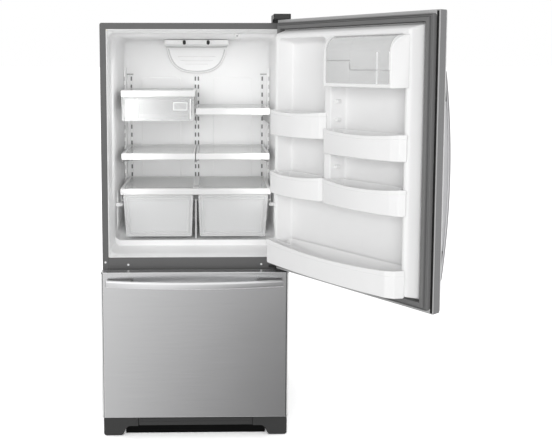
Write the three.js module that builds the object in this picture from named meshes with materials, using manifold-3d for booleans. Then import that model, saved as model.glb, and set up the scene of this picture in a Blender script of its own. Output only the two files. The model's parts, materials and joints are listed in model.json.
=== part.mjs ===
// Bottom freezer refrigerator: a free-standing cabinet with a swing door above a pull-out freezer
// drawer, drawn with its upper door standing wide open.
//
// Millimetres, +Z up. X runs to the right of someone facing the front, +Y into the cabinet.
// While it is built, Y = 0 is the cabinet's front face, X = 0 its middle and Z = 0 the floor; the
// last lines move the origin to the floor under the middle of the whole open refrigerator.

import * as THREE from 'three';
import { mergeVertices } from 'three/addons/utils/BufferGeometryUtils.js';
import Module from 'manifold-3d';

const wasm = await Module();
wasm.setup();

// ---------------------------------------------------------------- driving sizes

const gap = 0.3;                 // running or seating clearance between neighbours
const steel = 1.5;               // folded sheet of the cabinet and of both fronts
const plastic = 2.5;             // wall of the moulded liners

const cabinetWidth = 756;
const cabinetDepth = 670;
const cabinetTop = 1692;
const skirtBottom = 30;          // lower edge of the cabinet's steel sides
const flangeWidth = 25;          // turned-in front edge of the cabinet
const cabinetCorner = 8;

const fridgeFloor = 752;
const fridgeCeilingFront = cabinetTop - 40;
const fridgeCeilingRear = fridgeCeilingFront - 12;
const sideWallInset = 32;        // from the cabinet's side to the cavity wall near the front
const sideWallDraft = 3;         // narrowing of the cavity towards its rear
const mouthDepth = 28;           // the funnel from the front edge to the cavity walls
const cavityRear = 568;          // plane of the rear wall
const rearRadius = 25;
const riserFront = 165;          // the raised part of the floor starts here
const riserHeight = 24;

const mullionTop = 742;
const mullionBottom = 656;
const mullionReturn = 25;
const freezerFloor = 137;
const freezerCeiling = 640;
const stepFront = 370;           // the freezer's rear step clears the machine compartment
const stepTop = 330;
const machineFront = 430;
const machineTop = 235;
const panTop = 99;               // sheet under the insulation
const panLower = 47;             // machine compartment floor
const panThickness = 2;
const sillTop = 127;
const sillBottom = 60;

const doorRise = 10;             // the door's top stands this far above the cabinet
const doorBottom = 703;
const doorTop = cabinetTop + doorRise;
const drawerBottom = 97;
const drawerTop = doorBottom - 5;
const frontWidth = cabinetWidth;
const frontFace = 71;            // distance of both fronts' outer faces ahead of the cabinet
const frontDepth = 42;           // depth of the steel pan round their edges
const frontCorner = 12;
const flangeProud = 2;           // the inner liner's flange stands this far out of the pan
const hingeX = frontWidth / 2 - 23;
const hingeY = -41;
const hingePinRadius = 5;
const hingePinReach = 20;
const doorOpenDegrees = 127.9;   // as pictured

const gasketInset = 12;          // from the front's edge to the gasket
const gasketWidth = 28;
const gasketSeat = 0.6;          // left between the closed gasket and the cabinet
const gasketBase = 17;           // thickness of its foot
const magnetInset = 12;          // the magnet ridge stands clear of the gasket's outer lip
const magnetWidth = 14;

const dykeInset = 43;            // from the door's edge to the moulded rim inside the gasket
const dykeHeight = 45;           // how far that rim reaches into the cabinet
const dykeDraft = 17;
const dykeRim = 18;              // width of its crest
const recessFloor = 22;          // the door's inner wall lies this far outside the cabinet face
const recessDraft = 13;
const dividerCentre = 38;
const dividerWidth = 32;
const dairyClear = 80;           // from the door's top down to the dairy compartment
const dairyHeight = 172;
const dividerDrop = 370;         // the divider reaches this far below it
const dairyTop = doorTop - dairyClear;
const dairyBottom = dairyTop - dairyHeight;
const dividerBottom = dairyBottom - dividerDrop;

// ---------------------------------------------------------------- derived sizes

const halfWidth = cabinetWidth / 2;
const openingHalf = halfWidth - flangeWidth;
const cavityHalf = halfWidth - sideWallInset;
const innerHalf = halfWidth - steel - gap;
const openingTop = cabinetTop - flangeWidth;
const frontHalf = frontWidth / 2;
const panBack = -frontFace + frontDepth;
const flangePlane = panBack + flangeProud;
const gasketBack = flangePlane + gap;
const riserTop = fridgeFloor + riserHeight;

// ---------------------------------------------------------------- shape helpers

function solidOf(geometry) {
  geometry.deleteAttribute('normal');
  geometry.deleteAttribute('uv');
  const merged = mergeVertices(geometry, 1e-4);
  return new wasm.Manifold(new wasm.Mesh({
    numProp: 3,
    vertProperties: new Float32Array(merged.attributes.position.array),
    triVerts: new Uint32Array(merged.index.array),
  }));
}

function geometryOf(solid) {
  const mesh = solid.getMesh();
  const geometry = new THREE.BufferGeometry();
  geometry.setAttribute('position', new THREE.BufferAttribute(mesh.vertProperties, 3));
  geometry.setIndex(new THREE.BufferAttribute(mesh.triVerts, 1));
  geometry.computeVertexNormals();
  return geometry;
}

const join = (...solids) => solids.reduce((whole, piece) => whole.add(piece));
const cut = (whole, ...tools) => tools.reduce((rest, tool) => rest.subtract(tool), whole);

function block(x0, x1, y0, y1, z0, z1) {
  const geometry = new THREE.BoxGeometry(x1 - x0, y1 - y0, z1 - z0);
  geometry.translate((x0 + x1) / 2, (y0 + y1) / 2, (z0 + z1) / 2);
  return solidOf(geometry);
}

function extrude(outline, depth, segments) {
  const shape = Array.isArray(outline)
    ? new THREE.Shape(outline.map(([a, b]) => new THREE.Vector2(a, b)))
    : outline;
  return new THREE.ExtrudeGeometry(shape, { depth, bevelEnabled: false, curveSegments: segments });
}

// an outline drawn in the named plane, pushed along the third axis from one value to another
function prismXY(outline, z0, z1, segments = 6) {
  return solidOf(extrude(outline, z1 - z0, segments).translate(0, 0, z0));
}

function prismXZ(outline, y0, y1, segments = 6) {
  return solidOf(extrude(outline, y1 - y0, segments).rotateX(Math.PI / 2).translate(0, y1, 0));
}

function prismYZ(outline, x0, x1, segments = 6) {
  const geometry = extrude(outline, x1 - x0, segments);
  return solidOf(geometry.rotateX(Math.PI / 2).rotateZ(Math.PI / 2).translate(x0, 0, 0));
}

function rod(axis, radius, from, to, centreA, centreB, sides = 16) {
  const geometry = new THREE.CylinderGeometry(radius, radius, to - from, sides);
  const middle = (from + to) / 2;
  if (axis === 'x') geometry.rotateZ(Math.PI / 2).translate(middle, centreA, centreB);
  if (axis === 'y') geometry.translate(centreA, middle, centreB);
  if (axis === 'z') geometry.rotateX(Math.PI / 2).translate(centreA, centreB, middle);
  return solidOf(geometry);
}

function roundedRectangle(x0, x1, y0, y1, r) {
  const shape = new THREE.Shape();
  shape.absarc(x1 - r, y1 - r, r, 0, Math.PI / 2);
  shape.absarc(x0 + r, y1 - r, r, Math.PI / 2, Math.PI);
  shape.absarc(x0 + r, y0 + r, r, Math.PI, Math.PI * 1.5);
  shape.absarc(x1 - r, y0 + r, r, Math.PI * 1.5, Math.PI * 2);
  shape.closePath();
  return shape;
}

// a closed body through rounded rectangles set one behind the other along Y, front one first
function loft(rings, cornerSteps = 4) {
  const positions = [];
  const index = [];
  const count = 4 * (cornerSteps + 1);
  for (const { y, x0, x1, z0, z1, r } of rings) {
    const corners = [[x1 - r, z1 - r], [x0 + r, z1 - r], [x0 + r, z0 + r], [x1 - r, z0 + r]];
    corners.forEach(([cx, cz], corner) => {
      for (let step = 0; step <= cornerSteps; step++) {
        const angle = (corner + step / cornerSteps) * Math.PI / 2;
        positions.push(cx + r * Math.cos(angle), y, cz + r * Math.sin(angle));
      }
    });
  }
  for (let ring = 0; ring + 1 < rings.length; ring++) {
    for (let i = 0; i < count; i++) {
      const a = ring * count + i;
      const b = ring * count + (i + 1) % count;
      index.push(a, b + count, b, a, a + count, b + count);
    }
  }
  const last = (rings.length - 1) * count;
  for (let i = 1; i + 1 < count; i++) {
    index.push(0, i, i + 1);
    index.push(last, last + i + 1, last + i);
  }
  const geometry = new THREE.BufferGeometry();
  geometry.setAttribute('position', new THREE.BufferAttribute(new Float32Array(positions), 3));
  geometry.setIndex(index);
  return solidOf(geometry);
}

// the corner points of a drawn outline, each one once
function cornersOf(shape, segments) {
  const points = shape.getPoints(segments).map((point) => [point.x, point.y]);
  return points.filter(([x, y], i) => {
    const [nx, ny] = points[(i + 1) % points.length];
    return Math.hypot(nx - x, ny - y) > 0.01;
  });
}

// the outline moved inwards by a wall thickness, each side kept parallel to itself
function inset(points, wall) {
  const area = points.reduce((sum, [x, y], i) => {
    const [nx, ny] = points[(i + 1) % points.length];
    return sum + x * ny - nx * y;
  }, 0);
  const turn = Math.sign(area);
  const sides = points.map(([x, y], i) => {
    const [nx, ny] = points[(i + 1) % points.length];
    const length = Math.hypot(nx - x, ny - y);
    const dx = (nx - x) / length;
    const dy = (ny - y) / length;
    return { x: x - turn * dy * wall, y: y + turn * dx * wall, dx, dy };
  });
  return sides.map((side, i) => {
    const before = sides[(i + sides.length - 1) % sides.length];
    const cross = before.dx * side.dy - before.dy * side.dx;
    if (Math.abs(cross) < 1e-6) return [side.x, side.y];
    const along = ((side.x - before.x) * side.dy - (side.y - before.y) * side.dx) / cross;
    return [before.x + before.dx * along, before.y + before.dy * along];
  });
}

// an open-topped tray: an outline seen from above, with a wall and a floor
function tray(outline, z0, z1, wall, floor = wall) {
  return cut(prismXY(outline, z0, z1), prismXY(inset(outline, wall), z0 + floor, z1 + 1));
}

const mirrorX = (solid) => solid.mirror([1, 0, 0]);

// ---------------------------------------------------------------- materials and placing

function paint(color, roughness, metalness = 0, extra = {}) {
  return new THREE.MeshStandardMaterial({ color, roughness, metalness, ...extra });
}

const finish = {
  stainless: paint(0xb4b4b6, 0.34, 1),
  cabinetGrey: paint(0x6f7073, 0.5),
  hingeGrey: paint(0x55565a, 0.45, 0.3),
  zinc: paint(0xa9abad, 0.4, 1),
  whiteLiner: paint(0xebebeb, 0.45),
  whiteTrim: paint(0xf4f4f4, 0.35),
  clear: paint(0xe9eef0, 0.12, 0, { transparent: true, opacity: 0.35 }),
  gasket: paint(0x707174, 0.7),
  darkGrey: paint(0x3d3e41, 0.55),
  mount: paint(0x58595d, 0.5),
  black: paint(0x1d1d1f, 0.5),
  foam: paint(0xe6d9a8, 0.9),
  rubber: paint(0x2a2a2b, 0.85),
};

const refrigerator = new THREE.Group();
const door = new THREE.Group();
refrigerator.add(door);

function place(name, solid, material, parent = refrigerator) {
  const mesh = new THREE.Mesh(geometryOf(solid), material);
  mesh.name = name;
  parent.add(mesh);
  return mesh;
}

// ---------------------------------------------------------------- cabinet

// half widths, heights and depths of a cavity's skin; grow is 0 inside and the wall outside
function cavity(mouthBottom, mouthTop, floor, ceilingFront, ceilingRear, grow) {
  const mouth = openingHalf - gap - plastic + grow;
  const near = cavityHalf + grow;
  const far = cavityHalf - sideWallDraft + grow;
  const soft = rearRadius - grow;
  return loft([
    { y: -1 + (grow ? 1 : 0), x0: -mouth, x1: mouth, z0: mouthBottom - grow, z1: mouthTop + grow, r: 10 },
    { y: mouthDepth, x0: -near, x1: near, z0: floor - grow, z1: ceilingFront + grow, r: 24 },
    { y: cavityRear - rearRadius + grow, x0: -far, x1: far, z0: floor - grow, z1: ceilingRear + grow, r: 28 },
    { y: cavityRear - rearRadius * 0.3 + grow, x0: -far + soft * 0.3, x1: far - soft * 0.3,
      z0: floor - grow + soft * 0.3, z1: ceilingRear + grow - soft * 0.3, r: 28 },
    { y: cavityRear + grow, x0: -far + soft, x1: far - soft, z0: floor - grow + soft,
      z1: ceilingRear + grow - soft, r: 24 },
  ]);
}

const wide = cabinetWidth;       // reach of a cutting block that passes right across
const fridgeMouth = [mullionTop + gap + plastic, openingTop - gap - plastic];
const freezerMouth = [sillTop + gap + plastic, mullionBottom - gap - plastic];

function fridgeCavity(grow) {
  const space = cavity(...fridgeMouth, fridgeFloor, fridgeCeilingFront, fridgeCeilingRear, grow);
  return cut(space, block(-wide, wide, riserFront + grow, cabinetDepth, 0, riserTop - grow));
}

function freezerCavity(grow) {
  const space = cavity(...freezerMouth, freezerFloor, freezerCeiling, freezerCeiling, grow);
  return cut(space, block(-wide, wide, stepFront + grow, cabinetDepth, 0, stepTop - grow));
}

function cabinetShell() {
  const bottom = skirtBottom - 2 * cabinetCorner;
  const outside = roundedRectangle(-halfWidth, halfWidth, bottom, cabinetTop, cabinetCorner);
  const hollow = roundedRectangle(-halfWidth + steel, halfWidth - steel, bottom - 50,
    cabinetTop - steel, cabinetCorner - steel);
  return cut(
    prismXZ(outside, 0, cabinetDepth),
    prismXZ(hollow, steel, cabinetDepth + 1),
    block(-openingHalf, openingHalf, -1, steel + 1, 0, openingTop),
    block(-wide, wide, -1, cabinetDepth + 1, 0, skirtBottom),
  );
}

// whatever fills the steel body from side to side and up to its top, above a given height
function insideShell(y0, y1, bottom) {
  const r = cabinetCorner - steel;
  const section = roundedRectangle(-innerHalf, innerHalf, bottom - 3 * r,
    cabinetTop - steel - gap, r);
  return cut(prismXZ(section, y0, y1), block(-wide, wide, y0 - 1, y1 + 1, 0, bottom));
}

// steel sheet closing the rear, with slotted air openings for the machine compartment
const rearPanelFront = cabinetDepth - steel;
const ventSlot = { length: 64, height: 7, pitch: 16, count: 7 };

function rearPanel() {
  let sheet = insideShell(rearPanelFront, cabinetDepth, panLower + gap);
  for (const column of [-230, -90, 90, 230]) {
    for (let row = 0; row < ventSlot.count; row++) {
      const z = panLower + 40 + row * ventSlot.pitch;
      sheet = cut(sheet, block(column - ventSlot.length / 2, column + ventSlot.length / 2,
        rearPanelFront - 1, cabinetDepth + 1, z, z + ventSlot.height));
    }
  }
  return sheet;
}

// foamed-in-place insulation between the steel and both liners
function insulation() {
  const rear = rearPanelFront - gap;
  return cut(
    insideShell(steel + gap, rear, panTop + gap),
    fridgeCavity(plastic + gap),
    freezerCavity(plastic + gap),
    block(-openingHalf, openingHalf, 0, mullionReturn + gap, mullionBottom - gap, mullionTop + gap),
    block(-openingHalf, openingHalf, 0, panThickness + gap, panTop, sillTop + gap),
    block(-wide, wide, machineFront, cabinetDepth, 0, machineTop),
  );
}

// small lugs on the side walls that carry the crisper cover
const coverBearing = 930;        // height of the lugs' upper face
const lugReach = 316;
const lugHeight = 14;
const lugLength = 24;
const lugPlaces = [214, 500];

const switchX = 172;
const switchTip = 47;            // ahead of it the closed door stops
const switchSide = 8;
const switchTravel = 6;
const switchHousing = { front: 54, rear: 84, half: 9, drop: 17 };

function fridgeLiner() {
  const inside = fridgeCavity(0);
  const { front, rear, half, drop } = switchHousing;
  const housingLow = fridgeCeilingFront - drop;
  let liner = join(
    cut(fridgeCavity(plastic), inside),
    block(switchX - half, switchX + half, front, rear, housingLow, fridgeCeilingFront + plastic / 2),
  );
  const bore = switchSide / 2 + gap;
  const boreCentre = housingLow + drop / 2 - 1;
  liner = cut(liner, block(switchX - bore, switchX + bore, front - 1, rear - 4,
    boreCentre - bore, boreCentre + bore));
  for (const y of lugPlaces) {
    for (const side of [-1, 1]) {
      const near = side * lugReach;
      const wall = side * (cavityHalf + plastic / 2 - sideWallDraft / 2);
      liner = join(liner, block(Math.min(near, wall), Math.max(near, wall),
        y - lugLength / 2, y + lugLength / 2, coverBearing - gap - lugHeight, coverBearing - gap));
    }
  }
  return liner;
}

const freezerLiner = () => cut(freezerCavity(plastic), freezerCavity(0));

function centreMullion() {
  const half = openingHalf - gap;
  return join(
    block(-half, half, 0, panThickness, mullionBottom, mullionTop),
    block(-half, half, 0, mullionReturn, mullionTop - panThickness, mullionTop),
    block(-half, half, 0, mullionReturn, mullionBottom, mullionBottom + panThickness),
  );
}

// levelling legs at the front, rollers at the rear
const footX = 330;
const footY = 45;
const footRadius = 20;
const footHeight = 8;
const studRadius = 5;
const studTop = 92;
const bossRadius = 13;
const bossBottom = 62;
const rollerX = 300;
const rollerY = 600;
const rollerRadius = 20;
const rollerHalf = 10;
const axleRadius = 4;
const lugSheet = 3;

// condenser fan and its motor
const fanZ = 130;
const fanY = 550;
const motorPlateX = 196;
const motorRadius = 25;
const motorLength = 26;
const shaftRadius = 2.5;
const shaftLength = 18;
const fanRadius = 60;

function basePan() {
  const rear = rearPanelFront - gap;
  const fold = [
    [steel + gap, panTop - panThickness], [machineFront - panThickness, panTop - panThickness],
    [machineFront - panThickness, panLower - panThickness], [rear, panLower - panThickness],
    [rear, panLower], [machineFront, panLower], [machineFront, panTop], [steel + gap, panTop],
  ];
  const sill = openingHalf - gap;
  let pan = join(
    prismYZ(fold, -innerHalf, innerHalf),
    block(-sill, sill, 0, panThickness, sillBottom, sillTop),
  );
  const rail = join(
    block(innerHalf - panThickness, innerHalf, steel + gap, rear, skirtBottom, panLower),
    block(innerHalf - panThickness, innerHalf, steel + gap, machineFront, skirtBottom, panTop),
    block(openingHalf - 1, innerHalf, steel + gap, steel + gap + panThickness, skirtBottom, panTop),
  );
  pan = join(pan, rail, mirrorX(rail));
  for (const side of [-1, 1]) {
    const boss = rod('z', bossRadius, bossBottom, panTop - panThickness / 2, side * footX, footY, 20);
    const bore = rod('z', studRadius + gap, bossBottom - 1, panTop - panThickness,
      side * footX, footY, 12);
    pan = cut(join(pan, boss), bore);
    for (const flank of [-1, 1]) {
      const x0 = side * rollerX + flank * (rollerHalf + gap);
      const x1 = x0 + flank * lugSheet;
      const lug = block(Math.min(x0, x1), Math.max(x0, x1), rollerY - 12, rollerY + 12,
        rollerRadius - 9, panLower - panThickness / 2);
      pan = cut(join(pan, lug),
        rod('x', axleRadius + gap, Math.min(x0, x1) - 1, Math.max(x0, x1) + 1,
          rollerY, rollerRadius, 12));
    }
  }
  const plateBack = motorPlateX + lugSheet;
  return join(pan,
    block(motorPlateX, plateBack, fanY - 34, fanY + 34, panLower - panThickness / 2, fanZ + 34),
    rod('x', motorRadius, motorPlateX - motorLength, motorPlateX + 1, fanY, fanZ, 20),
    rod('x', shaftRadius, motorPlateX - motorLength - shaftLength, motorPlateX - motorLength + 1,
      fanY, fanZ, 12));
}

function levellingLeg(side) {
  const x = side * footX;
  return join(
    rod('z', footRadius, 0, footHeight, x, footY, 24),
    rod('z', studRadius, footHeight - 1, studTop, x, footY, 12),
  );
}

function rearRoller(side) {
  const x = side * rollerX;
  const axleHalf = rollerHalf + gap + lugSheet;
  return join(
    rod('x', rollerRadius, x - rollerHalf, x + rollerHalf, rollerY, rollerRadius, 24),
    rod('x', axleRadius, x - axleHalf, x + axleHalf, rollerY, rollerRadius, 12),
  );
}

function condenserFan() {
  const hubRear = motorPlateX - motorLength - gap;
  const hubFront = hubRear - shaftLength - 3;
  const middle = (hubRear + hubFront) / 2;
  let fan = rod('x', 16, hubFront, hubRear, fanY, fanZ, 16);
  for (let blade = 0; blade < 4; blade++) {
    const vane = new THREE.BoxGeometry(2.5, 34, fanRadius - 12);
    vane.rotateZ(0.55).translate(0, 0, (fanRadius + 12) / 2);
    vane.rotateX(blade * Math.PI / 2).translate(middle, fanY, fanZ);
    fan = join(fan, solidOf(vane));
  }
  return cut(fan, rod('x', shaftRadius + gap, hubFront + 2, hubRear + 1, fanY, fanZ, 12));
}

const compressorX = -70;
const compressorRadius = 78;
const compressorHeight = 150;

function compressor() {
  const profile = [[0, 0], [0.8, 0], [0.97, 0.12], [1, 0.45], [0.97, 0.72], [0.78, 0.93], [0.4, 1],
    [0, 1]];
  const points = profile.map(([r, h]) => new THREE.Vector2(r * compressorRadius,
    h * compressorHeight));
  const pot = new THREE.LatheGeometry(points, 24).rotateX(Math.PI / 2);
  pot.translate(compressorX, fanY, panLower + gap);
  const bolt = 105;
  return join(
    solidOf(pot),
    block(compressorX - bolt, compressorX + bolt, fanY - 45, fanY + 45, panLower + gap,
      panLower + gap + 4),
    rod('z', 5, panLower + compressorHeight - 8, panLower + compressorHeight + 22, compressorX + 30,
      fanY, 10),
  );
}

// ---------------------------------------------------------------- base trim

const trimFront = 30;            // how far the base trim stands ahead of the cabinet
const trimTop = 92;
const coverOutside = 377;
const coverToe = 299;            // where the leg cover's foot ends
const coverArch = 278;
const grilleHalf = 236;
const archTop = 42;
const coverBottom = 3;

function legCover(side) {
  const outline = new THREE.Shape();
  outline.moveTo(coverOutside, trimTop);
  outline.lineTo(coverOutside, coverBottom + 12);
  outline.quadraticCurveTo(coverOutside, coverBottom, coverOutside - 12, coverBottom);
  outline.lineTo(coverToe + 10, coverBottom);
  outline.quadraticCurveTo(coverToe - 2, coverBottom, coverToe - 6, coverBottom + 14);
  outline.quadraticCurveTo(coverArch + 6, archTop, coverArch - 8, archTop);
  outline.lineTo(grilleHalf + gap, archTop);
  outline.lineTo(grilleHalf + gap, trimTop);
  outline.closePath();
  const points = cornersOf(outline, 4);
  const whole = prismXZ(points, -trimFront, -gap);
  const hollow = prismXZ(inset(points, 3), -trimFront + 3, 1);
  const cover = cut(whole, hollow);
  return side < 0 ? mirrorX(cover) : cover;
}

const grilleSlats = 3;

function baseGrille() {
  const x = grilleHalf;
  const face = -trimFront + 6;
  let grille = join(
    block(-x, x, face, face + 3, archTop - 4, trimTop),
    block(-x, x, face, -gap, trimTop - 3, trimTop),
    block(-x, x, face, -9, archTop - 4, archTop - 1),
    block(-x, x, -12, -9, 10, archTop - 2),
  );
  for (let slat = 0; slat < grilleSlats; slat++) {
    const z = archTop + 8 + slat * 13;
    grille = cut(grille, block(-x + 12, x - 12, face - 1, face + 2, z, z + 6));
  }
  return grille;
}

// ---------------------------------------------------------------- hinges

const bracketLeft = hingeX - 39;
const bracketRight = hingeX + 19;
const bracketSheet = 3;
const bracketRear = 70;
const bracketFront = -60;
const topPlate = doorTop + 0.8;

function topHingeBracket() {
  return join(
    block(bracketLeft, bracketRight, 6, bracketRear, cabinetTop + gap, topPlate + 1),
    block(bracketLeft, bracketRight, bracketFront, bracketRear, topPlate, topPlate + bracketSheet),
    rod('z', hingePinRadius, doorTop - hingePinReach, topPlate + 1, hingeX, hingeY, 16),
  );
}

const hingeCoverTop = topPlate + 21.2;

function topHingeCover() {
  const left = bracketLeft - 4.5;
  const right = bracketRight + 4.5;
  const front = bracketFront - 5;
  const rear = bracketRear + 5;
  const wall = 2.5;
  const outside = roundedRectangle(left, right, front, rear, 7);
  const hollow = roundedRectangle(left + wall, right - wall, front + wall, rear - wall, 5);
  return cut(
    prismXY(outside, cabinetTop + gap, hingeCoverTop, 3),
    prismXY(hollow, cabinetTop - 1, hingeCoverTop - wall, 3),
    block(left - 1, right + 1, front - 1, 3, cabinetTop - 1, doorTop + 1.6),
  );
}

const centrePlateBottom = drawerTop + 1.2;
const centreTabLength = 53;
const centreTabLeft = openingHalf - centreTabLength;     // the tab screwed to the mullion
const centrePlateLeft = hingeX - 30;         // the plate that carries the pin

function centreHingeBracket() {
  const plateTop = doorBottom - 0.8;
  return join(
    block(centreTabLeft, openingHalf - 3, -bracketSheet - gap, -gap, centrePlateBottom,
      doorBottom + 8),
    block(centrePlateLeft, bracketRight, bracketFront + 4, -gap, centrePlateBottom, plateTop),
    rod('z', hingePinRadius, plateTop - 1, doorBottom + hingePinReach, hingeX, hingeY, 16),
  );
}

// ---------------------------------------------------------------- inside the fridge

// control housing under the ceiling, with two turning knobs
const housingHalf = 145;
const housingFront = 430;
const housingRear = 538;
const housingBottom = fridgeCeilingRear - 29;
const housingTop = fridgeCeilingRear - gap;
const knobX = 54;
const knobZ = housingBottom + 16;
const knobRadius = 11;
const knobLength = 12;
const spindleRadius = 3;
const spindleLength = 10;

function controlHousing() {
  const bevel = 9;
  const side = [
    [housingFront + bevel, housingBottom], [housingRear, housingBottom], [housingRear, housingTop],
    [housingFront, housingTop], [housingFront, housingBottom + bevel],
  ];
  let housing = prismYZ(side, -housingHalf, housingHalf);
  for (const x of [-knobX, knobX]) {
    housing = cut(housing, rod('y', spindleRadius + gap, housingFront - 1,
      housingFront + spindleLength, x, knobZ, 12));
  }
  return cut(housing, block(-housingHalf + 3, housingHalf - 3, housingFront + spindleLength + 6,
    housingRear - 3, housingBottom + 3, housingTop + 1));
}

function controlKnob(x) {
  const rear = housingFront - gap;
  return join(
    rod('y', knobRadius, rear - knobLength, rear, x, knobZ, 20),
    block(x - 2, x + 2, rear - knobLength - 4, rear - knobLength + 1, knobZ - knobRadius + 2,
      knobZ + knobRadius - 2),
    rod('y', spindleRadius, rear - 1, housingFront + spindleLength - 1, x, knobZ, 12),
  );
}

function lightSwitch() {
  const low = fridgeCeilingFront - switchHousing.drop / 2 - 1 - switchSide / 2;
  const rear = switchHousing.rear - 4 - switchTravel - gap;
  return block(switchX - switchSide / 2, switchX + switchSide / 2, switchTip, rear, low,
    low + switchSide);
}

// D-shaped cover over the cold air outlet, on the rear wall under the housing
const diffuserHalf = 143;
const diffuserDrop = 125;
const diffuserDepth = 22;
const outletHalf = 60;           // half width of the outlet behind it

function airDiffuser() {
  const top = housingBottom - gap;
  const outline = new THREE.Shape();
  outline.moveTo(-diffuserHalf, top);
  outline.bezierCurveTo(-diffuserHalf + 12, top - diffuserDrop * 0.72, -diffuserHalf * 0.62,
    top - diffuserDrop, 0, top - diffuserDrop);
  outline.bezierCurveTo(diffuserHalf * 0.62, top - diffuserDrop, diffuserHalf - 12,
    top - diffuserDrop * 0.72, diffuserHalf, top);
  outline.closePath();
  const rear = cavityRear - gap;
  const front = rear - diffuserDepth;
  let cover = prismXZ(outline, front, rear, 10);
  [88, 76, 52].forEach((half, row) => {
    const z = top - 44 - row * 18;
    cover = cut(cover, block(-half, half, front - 1, front + 12, z - 6, z));
  });
  return cut(cover, block(-outletHalf, outletHalf, front + 15, rear + 1, top - diffuserDrop + 25,
    top - 12));
}

// slotted steel strips on the rear wall that the shelf brackets hook into
const coverTop = 998;            // upper face of the crisper cover
const shelfOuter = cavityHalf - 31;
const trackDepth = 4.5;
const trackHalf = 7;
const sideTrackX = shelfOuter - 5;
const slotPitch = 38;
const slotHeight = 20;
const slotWidth = 7;
const lowestSlot = coverTop + 7;
const trackBottom = lowestSlot - slotPitch / 2;
const trackRoom = housingBottom - gap - diffuserDrop - trackBottom;
const slotCount = Math.floor(trackRoom / slotPitch);

function shelfTrack(x, half, columns) {
  const rear = cavityRear - gap;
  const bottom = trackBottom;
  let strip = block(x - half, x + half, rear - trackDepth, rear, bottom,
    bottom + slotCount * slotPitch);
  for (let slot = 0; slot < slotCount; slot++) {
    for (const column of columns) {
      const z = lowestSlot + slot * slotPitch;
      strip = cut(strip, block(x + column - slotWidth / 2, x + column + slotWidth / 2,
        rear - trackDepth - 1, rear - 1, z - slotHeight / 2, z + slotHeight / 2));
    }
  }
  return strip;
}

// half-width cantilever shelves
const shelfFront = 165;
const shelfRear = 545;
const shelfInner = 1.5;
const shelfPlate = 7;
const shelfTrim = 27;
const trimDepth = 12;
const bracketThick = 3;
const bracketTail = cavityRear - trackDepth - 2 * gap;
const bracketTailDrop = 78;      // depth of a bracket at its hooks
const bracketHeelDrop = 70;
const bracketHeel = 60;          // length of its deep rear end
const shelfNose = 20;
const deliRunner = 42;           // the deli drawer's runners hang this far below the shelf's top

// each shelf stands at a share of the height between the crisper cover and the ceiling
const shelfAt = (share) => Math.round(coverTop + (fridgeCeilingRear - coverTop) * share);
const shelfTops = { upperLeft: shelfAt(0.654), upperRight: shelfAt(0.536), middle: shelfAt(0.237) };

function shelf(side, top, bracketNose) {
  const low = top - shelfPlate;
  const flank = [
    [shelfFront + trimDepth - 1, low + 1], [bracketTail, low + 1],
    [bracketTail, top - bracketTailDrop], [bracketTail - bracketHeel, top - bracketHeelDrop],
    [shelfFront + trimDepth - 1, top - bracketNose],
  ];
  const half = join(
    block(shelfInner, shelfOuter, shelfFront, shelfRear, low, top),
    block(shelfInner, shelfOuter, shelfFront, shelfFront + trimDepth, top - shelfTrim, top),
    block(shelfInner, shelfOuter, shelfRear - 8, shelfRear, top - 16, top),
    prismYZ(flank, shelfOuter - bracketThick, shelfOuter),
    prismYZ(flank, shelfInner, shelfInner + bracketThick),
  );
  return side < 0 ? mirrorX(half) : half;
}

const runnerFoot = 12;
const runnerSheet = 2;

function deliShelf() {
  const top = shelfTops.upperLeft;
  const foot = top - deliRunner;
  const front = shelfFront + trimDepth + 8;
  const outer = -shelfOuter + bracketThick;
  const inner = -shelfInner - bracketThick;
  return join(
    shelf(-1, top, deliRunner + runnerSheet + 2),
    block(outer - 1, outer + runnerFoot, front, shelfRear - 10, foot - runnerSheet, foot),
    block(inner - runnerFoot, inner + 1, front, shelfRear - 10, foot - runnerSheet, foot),
  );
}

const deliDrop = 128;            // from the shelf's top down to the drawer's underside
const deliBottom = shelfTops.upperLeft - deliDrop;
const drawerWall = 2.5;
const drawerFrontThick = 6;

function deliDrawer() {
  const lip = shelfTops.upperLeft - deliRunner + gap;
  const left = -shelfOuter + bracketThick + gap;
  const right = -shelfInner - bracketThick - gap;
  const bodyLeft = left + runnerFoot;
  const bodyRight = right - runnerFoot;
  const front = shelfFront;
  const rear = 520;
  const back = front + drawerFrontThick;
  const outline = [[bodyLeft, back - 1], [bodyRight, back - 1], [bodyRight, rear], [bodyLeft, rear]];
  const flangeFront = shelfFront + trimDepth + 2;
  return join(
    tray(outline, deliBottom, lip + 3, drawerWall),
    block(left, right, front, back, deliBottom - 2, shelfTops.upperLeft - shelfTrim - 1),
    block(left, bodyLeft + 1, flangeFront, rear, lip, lip + 3),
    block(bodyRight - 1, right, flangeFront, rear, lip, lip + 3),
  );
}

// the crisper cover: a shelf across the whole width that both crispers hang from
const coverPlate = 6;
const coverTrim = 26;
const coverHalf = cavityHalf - 24;
const supportHalf = 4;
const crisperRunner = coverTop - 52;         // upper face of the runners
const crisperTopOuter = coverHalf - 15;
const crisperTopInner = 17;
const crisperTaper = 12;
const crisperBottom = riserTop + 17;
const crisperRear = 530;

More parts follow.
